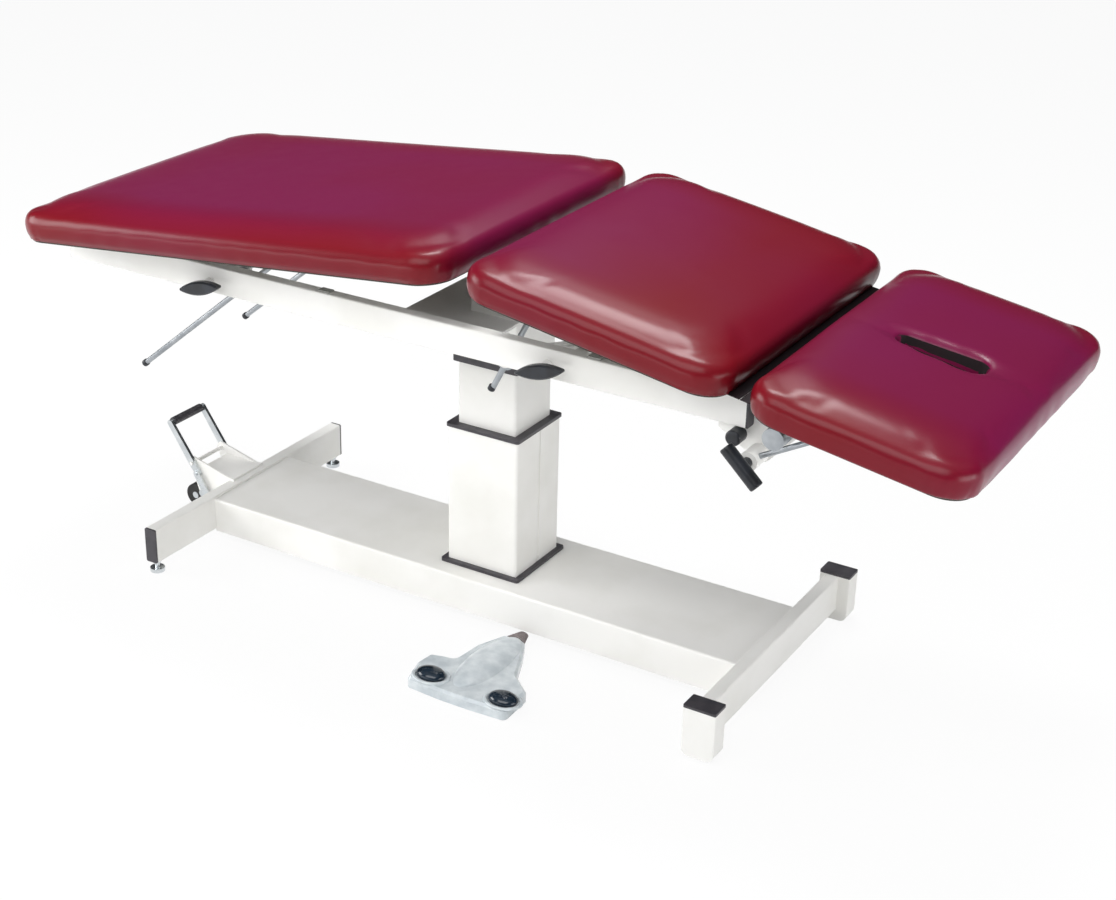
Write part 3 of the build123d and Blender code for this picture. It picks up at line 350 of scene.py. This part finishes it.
def moulded_plastic(name, dark, light, roughness, grit):
    """Moulded surface: base tone that varies a little and a fine gritty texture."""
    material, tree, place, output = new_material(name)
    cloud = add_node(tree, "TexNoise", {"Vector": place, "Scale": repeats(25), "Detail": 3.0})
    fine = add_node(tree, "TexNoise", {"Vector": place, "Scale": repeats(grit), "Detail": 2.0})
    rough = add_node(
        tree, "MapRange",
        {"Value": cloud.outputs["Fac"], "To Min": roughness - 0.06, "To Max": roughness + 0.06},
    )
    close_surface(tree, output, {
        "Base Color": two_tone(tree, cloud.outputs["Fac"], 0.35, dark, 0.68, light),
        "Roughness": rough.outputs["Result"], "IOR": 1.5,
        "Normal": relief(tree, fine.outputs["Fac"], 0.2, 0.1),
    })
    return material


black_plastic = moulded_plastic("black_moulded_nylon", "#353338", "#454247", 0.42, 0.6)
dark_grip = moulded_plastic("black_glass_filled_nylon", "#17191e", "#242830", 0.36, 0.6)
dome_plastic = moulded_plastic("blue_black_treadle_plastic", "#0f1a24", "#1b2a38", 0.16, 2.0)
boot_rubber = moulded_plastic("grey_boot_rubber", "#756c6c", "#8f8585", 0.6, 0.8)
# Near-black sheet material: painted shade, used on the face slot's walls and on the gap flaps.
painted_shade_sheet = moulded_plastic("near_black_painted_shade", "#12040a", "#1c070f", 0.8, 1.5)
black_rubber = moulded_plastic("black_rubber", "#1b1b1b", "#2b2b2a", 0.72, 1.0)
grey_enamel = moulded_plastic("grey_enamelled_casting", "#bcc4c9", "#d6dcdf", 0.18, 3.0)
pale_rubber = moulded_plastic("pale_buffer_rubber", "#9c9c97", "#acaca7", 0.60, 0.6)
white_plastic = moulded_plastic("white_moulded_nylon", "#dcdbd6", "#e6e5e1", 0.42, 0.6)

# %% [markdown]
# ## Bare metal and wood
# The rods and shafts are zinc-plated steel: a metal with a cool grey tone and fine
# drawn streaks along it. The actuator is a die casting. The boards under the pads are
# plywood, stained nearly black, with the grain along the table.

# %% Zinc-plated steel, die casting and plywood


def plated_steel(name, dark, light, roughness, streak):
    """Plated or cast metal; streak stretches its fine pattern along X."""
    material, tree, place, output = new_material(name)
    along = add_node(tree, "Mapping", {"Vector": place, "Scale": (1 / streak, 1, 1)})
    drawn = add_node(tree, "TexNoise", {"Vector": along.outputs[0], "Scale": repeats(0.8), "Detail": 2.0})
    cloud = add_node(tree, "TexNoise", {"Vector": place, "Scale": repeats(30), "Detail": 3.0})
    rough = add_node(
        tree, "MapRange",
        {"Value": drawn.outputs["Fac"], "To Min": roughness - 0.08, "To Max": roughness + 0.08},
    )
    close_surface(tree, output, {
        "Base Color": two_tone(tree, cloud.outputs["Fac"], 0.35, dark, 0.65, light), "Metallic": 1.0,
        "Roughness": rough.outputs["Result"], "Normal": relief(tree, drawn.outputs["Fac"], 0.1, 0.05),
    })
    return material


def stained_plywood():
    """Dark board with long grain."""
    material, tree, place, output = new_material("black_stained_plywood")
    along = add_node(tree, "Mapping", {"Vector": place, "Scale": (0.08, 1, 1)})
    grain = add_node(tree, "TexNoise", {"Vector": along.outputs[0], "Scale": repeats(6), "Detail": 5.0})
    colour = two_tone(tree, grain.outputs["Fac"], 0.35, "#262019", 0.70, "#3a3128")
    close_surface(tree, output, {"Base Color": colour, "Roughness": 0.6})
    return material


zinc_steel = plated_steel("zinc_plated_steel", "#9ba0a5", "#b4b8bc", 0.34, 20)
bright_zinc = plated_steel("bright_zinc_plated_steel", "#c6cbce", "#dde1e3", 0.30, 20)
motor_alloy = plated_steel("die_cast_alloy", "#9a9a9c", "#adadaf", 0.45, 1)
plywood = stained_plywood()

# %% [markdown]
# ## Finishes on the CAD nodes
# Each CAD node says in the record which finish it has, so a table from slot to
# material dresses all of them in one loop. A few pieces are then given a variant of
# their slot's finish: brighter zinc, darker grips, and paler bumpers.

# %% Dress the CAD nodes
FINISHES = {
    "white_powder_coat": white_powder_coat(),
    "white_plastic": white_plastic,
    "black_plastic": black_plastic,
    "black_rubber": black_rubber,
    "zinc_steel": zinc_steel,
    "grey_enamel": grey_enamel,
    "motor_alloy": motor_alloy,
    "burgundy_vinyl": vinyl,
    "plywood": plywood,
}
for part in frame["record"]["subparts"]:
    node = frame["nodes"][part["node"]]
    node.data.materials.clear()
    node.data.materials.append(FINISHES[part["material_slot"]])
OWN_FINISHES = (
    (bright_zinc, ("pedal_loop", "caster_links", "caster_rocker", "levelling_feet")),
    (dark_grip, ("tee_handle", "clamp_knob", "foot_release_paddles", "seat_release_paddles")),
    (pale_rubber, ("rail_bumpers",)),
)
for finish, names in OWN_FINISHES:
    for name in names:
        frame["nodes"][name].data.materials[0] = finish
print("dressed", len(frame["nodes"]), "nodes")

# %% [markdown]
# ## The pads
# Each pad is foam on a board, wrapped in vinyl that is stapled underneath. The wrap
# pulls the lower edge in, the side bulges a little low down, and the top rolls over
# softly into a low crown. The pad is built lying flat: a slab at its widest height is
# inset and moved ring by ring, up to the crown and down to the tuck. Each ring is
# given as its height in shares of the thickness and its inset in shares of the roll.

# %% Values of the pads
PAD_HALF_WIDTH = 0.355
PAD_CORNER = 0.066
PAD_UNDERSIDE = 0.678
PAD_THICKNESS = 0.072
PAD_ROLL = 0.032
BOARD_SHOWS = 0.0020
RINGS_UP = ((0.53, 0.05), (0.71, 0.22), (0.83, 0.50))
CROWN_START = 0.50 * PAD_ROLL
CROWN_RISE = 0.0140
CROWN_REACH = 0.170
CROWN_POWER = 5.0
RINGS_DOWN = ((0.10, 0.09), (0.0, 0.28))
WIDEST_SHARE = 0.29
SWELL = 0.0035
SIDE_GROWTH = 0.0022
FOOT_PIVOT = Vector((-0.850, 0, 0.664))
HEAD_PIVOT = Vector((0.698, 0, 0.645))
FOOT_TILT = radians(6.15)
SEAT_TILT = radians(-9.35)
HEAD_TILT = radians(-9.26)
FOOT_PAD = (-0.907, 0.092)
SEAT_PAD = (0.094, 0.610)
HEAD_PAD = (0.637, 1.036)

# %% Helpers for meshes


def only(piece):
    """Make one object the only selected and active one."""
    bpy.ops.object.select_all(action="DESELECT")
    piece.select_set(True)
    bpy.context.view_layer.objects.active = piece


def pick(piece, faces=None, edges=None):
    """In edit mode, select the faces or edges that pass a test and nothing else."""
    bpy.ops.mesh.select_mode(type="FACE" if faces else "EDGE")
    bpy.ops.mesh.select_all(action="DESELECT")
    mesh = bmesh.from_edit_mesh(piece.data)
    for item in mesh.faces if faces else mesh.edges:
        item.select_set((faces or edges)(item))
    mesh.select_flush_mode()
    bmesh.update_edit_mesh(piece.data)


def points(piece):
    """Vertex coordinates as an array."""
    flat = np.zeros(len(piece.data.vertices) * 3)
    piece.data.vertices.foreach_get("co", flat)
    return flat.reshape(-1, 3)


def set_points(piece, coordinates):
    piece.data.vertices.foreach_set("co", coordinates.astype(np.float32).ravel())
    piece.data.update()


# %% Build one pad, lying flat


def flat_pad(name, left, right):
    """Rolled slab between two places along the table."""
    low = PAD_UNDERSIDE + WIDEST_SHARE * PAD_THICKNESS
    first_rise, first_inset = RINGS_UP[0]
    high = PAD_UNDERSIDE + first_rise * PAD_THICKNESS
    bpy.ops.object.select_all(action="DESELECT")
    bpy.ops.mesh.primitive_cube_add(
        size=1, location=((left + right) / 2, 0, (low + high) / 2),
        scale=(right - left + 2 * SIDE_GROWTH, 2 * (PAD_HALF_WIDTH + SIDE_GROWTH), high - low),
    )
    pad = bpy.context.object
    pad.name = name
    bpy.ops.object.transform_apply(location=True, rotation=True, scale=True)
    bpy.ops.object.mode_set(mode="EDIT")
    pick(pad, edges=lambda e: abs(e.verts[0].co.z - e.verts[1].co.z) > (high - low) / 2)
    bpy.ops.mesh.bevel(offset=PAD_CORNER, segments=12, affect="EDGES")
    level, inset = high, 0.0
    for rise, share in RINGS_UP[1:]:
        next_level = PAD_UNDERSIDE + rise * PAD_THICKNESS - SWELL * (rise > 0.8)
        top = max(v.co.z for v in bmesh.from_edit_mesh(pad.data).verts)
        pick(pad, faces=lambda f: f.normal.z > 0.9 and f.calc_center_median().z > top - 1e-5)
        bpy.ops.mesh.inset(thickness=share * PAD_ROLL - inset, use_even_offset=True)
        bpy.ops.transform.translate(value=(0, 0, next_level - level))
        level, inset = next_level, share * PAD_ROLL
    level, inset = low, 0.0
    for rise, share in RINGS_DOWN:
        next_level = PAD_UNDERSIDE + rise * PAD_THICKNESS + BOARD_SHOWS
        bottom = min(v.co.z for v in bmesh.from_edit_mesh(pad.data).verts)
        pick(pad, faces=lambda f: f.normal.z < -0.9 and f.calc_center_median().z < bottom + 1e-5)
        bpy.ops.mesh.inset(thickness=share * PAD_ROLL - inset, use_even_offset=True)
        bpy.ops.transform.translate(value=(0, 0, next_level - level))
        level, inset = next_level, share * PAD_ROLL
    bpy.ops.object.mode_set(mode="OBJECT")
    return pad


# %% [markdown]
# The slab is then cut into small even squares and blown up a little with the cloth
# solver, as foam pushes on its cover. The staples hold the underside, so those points
# are pinned. No point may move further than a few millimetres, which keeps the pad
# inside its CAD size.

# %% Crown a pad


def edge_distance(place, left, right):
    """How far each point lies inside the pad's rounded outline."""
    along = np.minimum(place[:, 0] - left, right - place[:, 0])
    across = PAD_HALF_WIDTH - np.abs(place[:, 1])
    reach = 2 * PAD_CORNER
    corner = reach - np.hypot(np.maximum(reach - along, 0), np.maximum(reach - across, 0))
    return np.where((along < reach) & (across < reach), corner, np.minimum(along, across))


def crown(pad, left, right):
    """Raise the top towards the middle, over a soft shoulder."""
    place = points(pad)
    share = np.clip((edge_distance(place, left, right) - CROWN_START) / (CROWN_REACH - CROWN_START), 0, 1)
    on_top = place[:, 2] > PAD_UNDERSIDE + 0.6 * PAD_THICKNESS
    place[:, 2] += CROWN_RISE * on_top * (1 - (1 - share) ** CROWN_POWER)
    set_points(pad, place)


# %% Fill a pad
LARGE_SQUARES, SMALL_SQUARES = 0.007, 0.005
LIGHT_EASING, FULL_EASING = 3, 14
EVENING = 6
PRESSURE = 4.0
COVER_MASS = 0.3
MOST_MOVE = 0.0045
LAST_FRAME = 20


def smoothed(pad, name, rounds):
    """Relax a pad's mesh a number of times."""
    smooth = pad.modifiers.new(name, "SMOOTH")
    smooth.factor = 0.5
    smooth.iterations = rounds
    bpy.ops.object.modifier_apply(modifier=smooth.name)


def remeshed(pad, square):
    """Even small squares all over."""
    only(pad)
    pad.data.remesh_voxel_size = square
    bpy.ops.object.voxel_remesh()
    smoothed(pad, "even", EVENING)


def fill(pad, easing):
    """Push the cover out by pressure, cap each point's move and keep the result."""
    start = points(pad)
    stapled = pad.vertex_groups.new(name="stapled")
    held = np.nonzero(start[:, 2] < PAD_UNDERSIDE + 3 * MILLIMETRE)[0]
    stapled.add([int(i) for i in held], 1.0, "REPLACE")
    cloth = pad.modifiers.new("cover", "CLOTH")
    cloth.settings.quality = 4
    cloth.settings.mass = COVER_MASS
    cloth.settings.vertex_group_mass = stapled.name
    cloth.settings.use_pressure = True
    cloth.settings.uniform_pressure_force = PRESSURE
    cloth.settings.effector_weights.gravity = 0
    for step in range(1, LAST_FRAME + 1):
        scene.frame_set(step)
    shown = pad.evaluated_get(bpy.context.evaluated_depsgraph_get())
    moved = np.zeros(len(shown.data.vertices) * 3)
    shown.data.vertices.foreach_get("co", moved)
    change = moved.reshape(-1, 3) - start
    length = np.linalg.norm(change, axis=1, keepdims=True)
    change *= np.minimum(1, MOST_MOVE / np.maximum(length, 1e-9))
    pad.modifiers.remove(cloth)
    set_points(pad, start + change)
    smoothed(pad, "ease", easing)
    scene.frame_set(1)
    print(pad.name, "filled, largest move", round(float(length.max()) * 1000, 1), "mm before the cap")


# %% [markdown]
# Pulling the cover tight leaves shallow waves low along the sides, and at each corner
# the spare cover is laid in a few small folds.

# %% Pull the cover tight
WAVE_LENGTH = 0.085
WAVE_DEPTH = 0.0005
WAVES_TOP_SHARE = 0.62
WAVES_REACH = 0.03
FOLD_DEPTH = 0.0022
FOLDS_PER_TURN = 12


def pull_tight(pad, left, right):
    """Waves low along the sides and folds at the corners, on the flat pad."""
    place = points(pad)
    waves_top = WAVES_TOP_SHARE * PAD_THICKNESS
    low_share = np.clip((PAD_UNDERSIDE + waves_top - place[:, 2]) / waves_top, 0, 1)
    centre = (left + right) / 2
    to_end = (right - left) / 2 - np.abs(place[:, 0] - centre)
    to_side = PAD_HALF_WIDTH - np.abs(place[:, 1])
    outer = np.clip(1 - np.minimum(to_end, to_side) / WAVES_REACH, 0, 1)
    at_corner = (to_end < PAD_CORNER) & (to_side < PAD_CORNER)
    on_end = to_end < to_side
    run = np.where(on_end, place[:, 1], place[:, 0])
    swing = np.sin(2 * np.pi * run / WAVE_LENGTH + 1.7 * np.sin(19 * run))
    wave = swing * WAVE_DEPTH * (4 * low_share * (1 - low_share)) * outer * ~at_corner
    place[:, 0] += np.where(on_end, np.sign(place[:, 0] - centre) * wave, 0)
    place[:, 1] += np.where(on_end, 0, np.sign(place[:, 1]) * wave)
    angle = np.arctan2(PAD_CORNER - to_side, PAD_CORNER - to_end)
    fold = FOLD_DEPTH * np.maximum(0, np.cos(FOLDS_PER_TURN * angle)) ** 3 * low_share * outer * at_corner
    place[:, 0] -= np.sign(place[:, 0] - centre) * np.cos(angle) * fold
    place[:, 1] -= np.sign(place[:, 1]) * np.sin(angle) * fold
    set_points(pad, place)


# %% Lay a pad on its section


def turn_about(piece, pivot, angle):
    """Turn a piece about its section's hinge, anticlockwise from the near side."""
    turn = Matrix.Rotation(-angle, 4, "Y")
    piece.data.transform(Matrix.Translation(pivot) @ turn @ Matrix.Translation(-pivot))


def lay(pad, pivot, angle, body, node):
    """Lay a flat pad on its section and hand it over."""
    turn_about(pad, pivot, angle)
    pad.data.materials.clear()
    pad.data.materials.append(vinyl)
    only(pad)
    bpy.ops.object.shade_smooth()
    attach(pad, body)
    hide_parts(node)
    print(pad.name, "has", len(pad.data.polygons), "faces")


# %% Foot and middle pads
foot_cushion = flat_pad("foot_cushion", *FOOT_PAD)
seat_cushion = flat_pad("seat_cushion", *SEAT_PAD)
for cushion, (left, right) in ((foot_cushion, FOOT_PAD), (seat_cushion, SEAT_PAD)):
    remeshed(cushion, LARGE_SQUARES)
    crown(cushion, left, right)
    fill(cushion, LIGHT_EASING)
    pull_tight(cushion, left, right)
lay(foot_cushion, FOOT_PIVOT, FOOT_TILT, "foot_section", "foot_pad")
lay(seat_cushion, HEAD_PIVOT, SEAT_TILT, "seat_section", "seat_pad")

# %% [markdown]
# ## Head pad and its face slot
# The slot is a long opening, wider towards the head end, through the foam and the
# board. Its vinyl is pulled over the edge into the slot, so the lip is rounded. A tapered
# prism is subtracted from the slab, and the roll at the lip is a second, flared one.
# The slot's walls get a thin near-black sheet: painted shade for the deep slot.

# %% Cut the slot
SLOT_LEFT, SLOT_RIGHT = 0.755, 0.925
SLOT_LEFT_RADIUS, SLOT_RIGHT_RADIUS = 0.019, 0.029
SLOT_LIP = 0.005


def slot_cutter(grow_low, grow_high, low, high):
    """Prism in the shape of the slot, wider at one height than at the other."""
    bpy.ops.object.select_all(action="DESELECT")
    bpy.ops.mesh.primitive_cylinder_add(
        vertices=48, radius=1, depth=high - low, location=(0, 0, (low + high) / 2),
    )
    cutter = bpy.context.object
    bpy.ops.object.transform_apply(location=True, rotation=True, scale=True)
    place = points(cutter)
    rightward = place[:, 0] > 0
    radius = np.where(rightward, SLOT_RIGHT_RADIUS, SLOT_LEFT_RADIUS)
    centre = np.where(rightward, SLOT_RIGHT - SLOT_RIGHT_RADIUS, SLOT_LEFT + SLOT_LEFT_RADIUS)
    radius = radius + np.where(place[:, 2] > (low + high) / 2, grow_high, grow_low)
    place[:, 0] = centre + place[:, 0] * radius
    place[:, 1] = place[:, 1] * radius
    set_points(cutter, place)
    return cutter


def cut(piece, cutter):
    """Subtract a closed shape from a piece."""
    only(piece)
    tool = piece.modifiers.new("cut", "BOOLEAN")
    tool.operation = "DIFFERENCE"
    tool.solver = "EXACT"
    tool.object = cutter
    bpy.ops.object.modifier_apply(modifier=tool.name)
    bpy.data.objects.remove(cutter)


head_cushion = flat_pad("head_cushion", *HEAD_PAD)
PAD_TOP = PAD_UNDERSIDE + PAD_THICKNESS
cut(head_cushion, slot_cutter(0.0, 0.0, PAD_UNDERSIDE - 0.02, PAD_TOP + 0.02))
cut(head_cushion, slot_cutter(0.0, 2 * SLOT_LIP, PAD_TOP - SLOT_LIP, PAD_TOP + SLOT_LIP))
remeshed(head_cushion, SMALL_SQUARES)
crown(head_cushion, *HEAD_PAD)
fill(head_cushion, FULL_EASING)
pull_tight(head_cushion, *HEAD_PAD)
lay(head_cushion, HEAD_PIVOT, HEAD_TILT, "head_section", "head_pad")

# %% Paint shade on the slot's walls
# A thin near-black sheet on the slot's walls is painted shade, standing in for the shadow inside the deep slot.
SHADE_SHEET_INSET = 0.0006
SHADE_SHEET_THICKNESS = 0.0005
SHADE_SHEET_RISE = 0.001
slot_shade_sheet = slot_cutter(-SHADE_SHEET_INSET, -SHADE_SHEET_INSET, PAD_UNDERSIDE + SHADE_SHEET_RISE, PAD_TOP - SLOT_LIP)
slot_shade_sheet.name = "painted_shade_sheet"
only(slot_shade_sheet)
bpy.ops.object.mode_set(mode="EDIT")
pick(slot_shade_sheet, faces=lambda f: abs(f.normal.z) > 0.9)
bpy.ops.mesh.delete(type="FACE")
bpy.ops.object.mode_set(mode="OBJECT")
wall = slot_shade_sheet.modifiers.new("wall", "SOLIDIFY")
wall.thickness = SHADE_SHEET_THICKNESS
bpy.ops.object.modifier_apply(modifier=wall.name)
turn_about(slot_shade_sheet, HEAD_PIVOT, HEAD_TILT)
slot_shade_sheet.data.materials.append(painted_shade_sheet)
bpy.ops.object.shade_smooth_by_angle(angle=radians(40))
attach(slot_shade_sheet, "head_section")

# %% [markdown]
# ## Gap flaps
# The gap between the middle and the head pad is black in deep shade. These thin dark
# flaps keep the light out of it. They are made up for that look, and the real table may
# have none; nothing else depends on them. They leave room for both pads to swing on
# their shared tube, and the head's flaps leave out the steel arms and the rails.

# %% Gap flaps
FLAP_THICKNESS = 0.0015
FLAP_LEVEL = PAD_UNDERSIDE + 0.003
# Name, body, tilt, reach along the table and reach across it.
GAP_FLAPS = (
    ("seat_gap_flap", "seat_section", SEAT_TILT, (0.596, 0.6215), (-0.300, 0.300)),
    ("head_gap_flap", "head_section", HEAD_TILT, (0.6235, 0.650), (-0.198, 0.198)),
    ("head_gap_flap_near", "head_section", HEAD_TILT, (0.6235, 0.650), (-0.300, -0.256)),
    ("head_gap_flap_far", "head_section", HEAD_TILT, (0.6235, 0.650), (0.256, 0.300)),
)
for name, body, tilt, (left, right), (near, far) in GAP_FLAPS:
    bpy.ops.object.select_all(action="DESELECT")
    bpy.ops.mesh.primitive_cube_add(
        size=1, location=((left + right) / 2, (near + far) / 2, FLAP_LEVEL),
        scale=(right - left, far - near, FLAP_THICKNESS),
    )
    flap = bpy.context.object
    flap.name = name
    bpy.ops.object.transform_apply(location=True, rotation=True, scale=True)
    turn_about(flap, HEAD_PIVOT, tilt)
    # The flaps carry the near-black painted shade material.
    flap.data.materials.append(painted_shade_sheet)
    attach(flap, body)

# %% [markdown]
# ## Foot control
# The control's two treadles are glossy domes in raised rims, its casting has a rounded
# spine towards the table, and a short ribbed boot carries it over to the plank.

# %% Foot control


def node_box(name):
    """Lowest and highest corner of a CAD node."""
    node = frame["nodes"][name]
    corners = [node.matrix_world @ Vector(corner) for corner in node.bound_box]
    return Vector(map(min, zip(*corners))), Vector(map(max, zip(*corners)))


def finished(piece, material, body, angle=40):
    """Bake the piece's place, give it its finish and let it ride with a body."""
    only(piece)
    bpy.ops.object.transform_apply(location=True, rotation=True, scale=True)
    piece.data.materials.clear()
    piece.data.materials.append(material)
    bpy.ops.object.shade_smooth_by_angle(angle=radians(angle))
    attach(piece, body)
    return piece


def ellipsoid(name, middle, radii):
    """Sphere stretched to three radii."""
    bpy.ops.object.select_all(action="DESELECT")
    bpy.ops.mesh.primitive_uv_sphere_add(segments=48, ring_count=24, radius=1, location=middle, scale=radii)
    piece = bpy.context.object
    piece.name = name
    return piece


DOME_GROWTH = 1.16
DOME_BASE = 0.026
RIM_LEVEL = 0.0225
RIM_MARGIN = 0.005
RIM_HEIGHT = 0.022
RIM_ROUNDNESS = 0.13
SPINE_MIDDLE = (0.133, -0.262, 0.0205)
SPINE_RADII = (0.040, 0.105, 0.012)
for side in ("raise", "lower"):
    low, high = node_box(side + "_treadle")
    middle = (low + high) / 2
    middle.z = DOME_BASE
    radii = DOME_GROWTH * (high - low) / 2
    radii.z = high.z - DOME_BASE
    dome = ellipsoid(side + "_dome", middle, radii)
    finished(dome, dome_plastic, side + "_treadle")
    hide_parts(side + "_treadle")
    bpy.ops.object.select_all(action="DESELECT")
    bpy.ops.mesh.primitive_torus_add(
        location=(middle.x, middle.y, RIM_LEVEL), major_segments=64, minor_segments=12,
        major_radius=1, minor_radius=RIM_ROUNDNESS,
    )
    rim = bpy.context.object
    rim.name = side + "_rim"
    rim.scale = (radii.x + RIM_MARGIN, radii.y + RIM_MARGIN, RIM_HEIGHT)
    finished(rim, grey_enamel, "base")
spine = ellipsoid("control_spine", SPINE_MIDDLE, SPINE_RADII)
finished(spine, grey_enamel, "base")

# %% Ribbed boot
BOOT_RIBS = 5
BOOT_HALF_WIDTH, BOOT_HALF_HEIGHT = 0.021, 0.0125
RIB_TAPER = 0.84
RIB_NARROWING = 0.10
low, high = node_box("foot_control_boot")
step = (high.y - low.y) / BOOT_RIBS
ribs = []
for k in range(BOOT_RIBS):
    narrowing = 1 - RIB_NARROWING * k
    bpy.ops.object.select_all(action="DESELECT")
    bpy.ops.mesh.primitive_cone_add(
        vertices=40, radius1=1, radius2=RIB_TAPER, depth=step, rotation=(radians(-90), 0, 0),
        location=((low.x + high.x) / 2, low.y + (k + 0.5) * step, (low.z + high.z) / 2),
        scale=(narrowing * BOOT_HALF_WIDTH, narrowing * BOOT_HALF_HEIGHT, 1),
    )
    ribs.append(bpy.context.object)
for rib in ribs:
    rib.select_set(True)
bpy.ops.object.join()
boot = bpy.context.object
boot.name = "ribbed_boot"
finished(boot, boot_rubber, "base")
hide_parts("foot_control_boot")

# %% [markdown]
# ## Rod tips
# Each support rod ends in a black moulded tip that keeps it from sliding out of its
# lock. A rod is given by its lower end and its direction, both in the upright plane
# along the table.

# %% Rod tips
STRUT_Y = 0.160
TIP_RADIUS = 0.0072
TIP_LENGTH = 0.010
TIP_DROP = 0.001
TIP_EDGE = 0.0015
ROD_ENDS = {"foot_rods": ((-0.7659, 0.3852), (0.773, 0.635)), "seat_rods": ((0.0724, 0.5307), (0.451, 0.893))}
for body, (end, direction) in ROD_ENDS.items():
    for side in (-1, 1):
        bpy.ops.object.select_all(action="DESELECT")
        x, z = (place - TIP_DROP * share for place, share in zip(end, direction))
        bpy.ops.mesh.primitive_cylinder_add(
            vertices=32, radius=TIP_RADIUS, depth=TIP_LENGTH, location=(x, side * STRUT_Y, z),
            rotation=(0, float(np.arctan2(*direction)), 0),
        )
        tip = bpy.context.object
        tip.name = body + ("_near_tip" if side < 0 else "_far_tip")
        bevel = tip.modifiers.new("edge", "BEVEL")
        bevel.width = TIP_EDGE
        bevel.segments = 3
        bpy.ops.object.modifier_apply(modifier=bevel.name)
        finished(tip, dark_grip, body)

# %% [markdown]
# ## Print the sizes
# The corners of both boxes, the CAD model's and the visual model's, are printed side by side.
# The visual model has to stay inside the CAD model's box.

# %% Print the sizes
visual_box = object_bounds()
for corner, other in zip(cad_box, visual_box):
    print("CAD corner", [round(c, 4) for c in corner], "visual corner", [round(c, 4) for c in other])
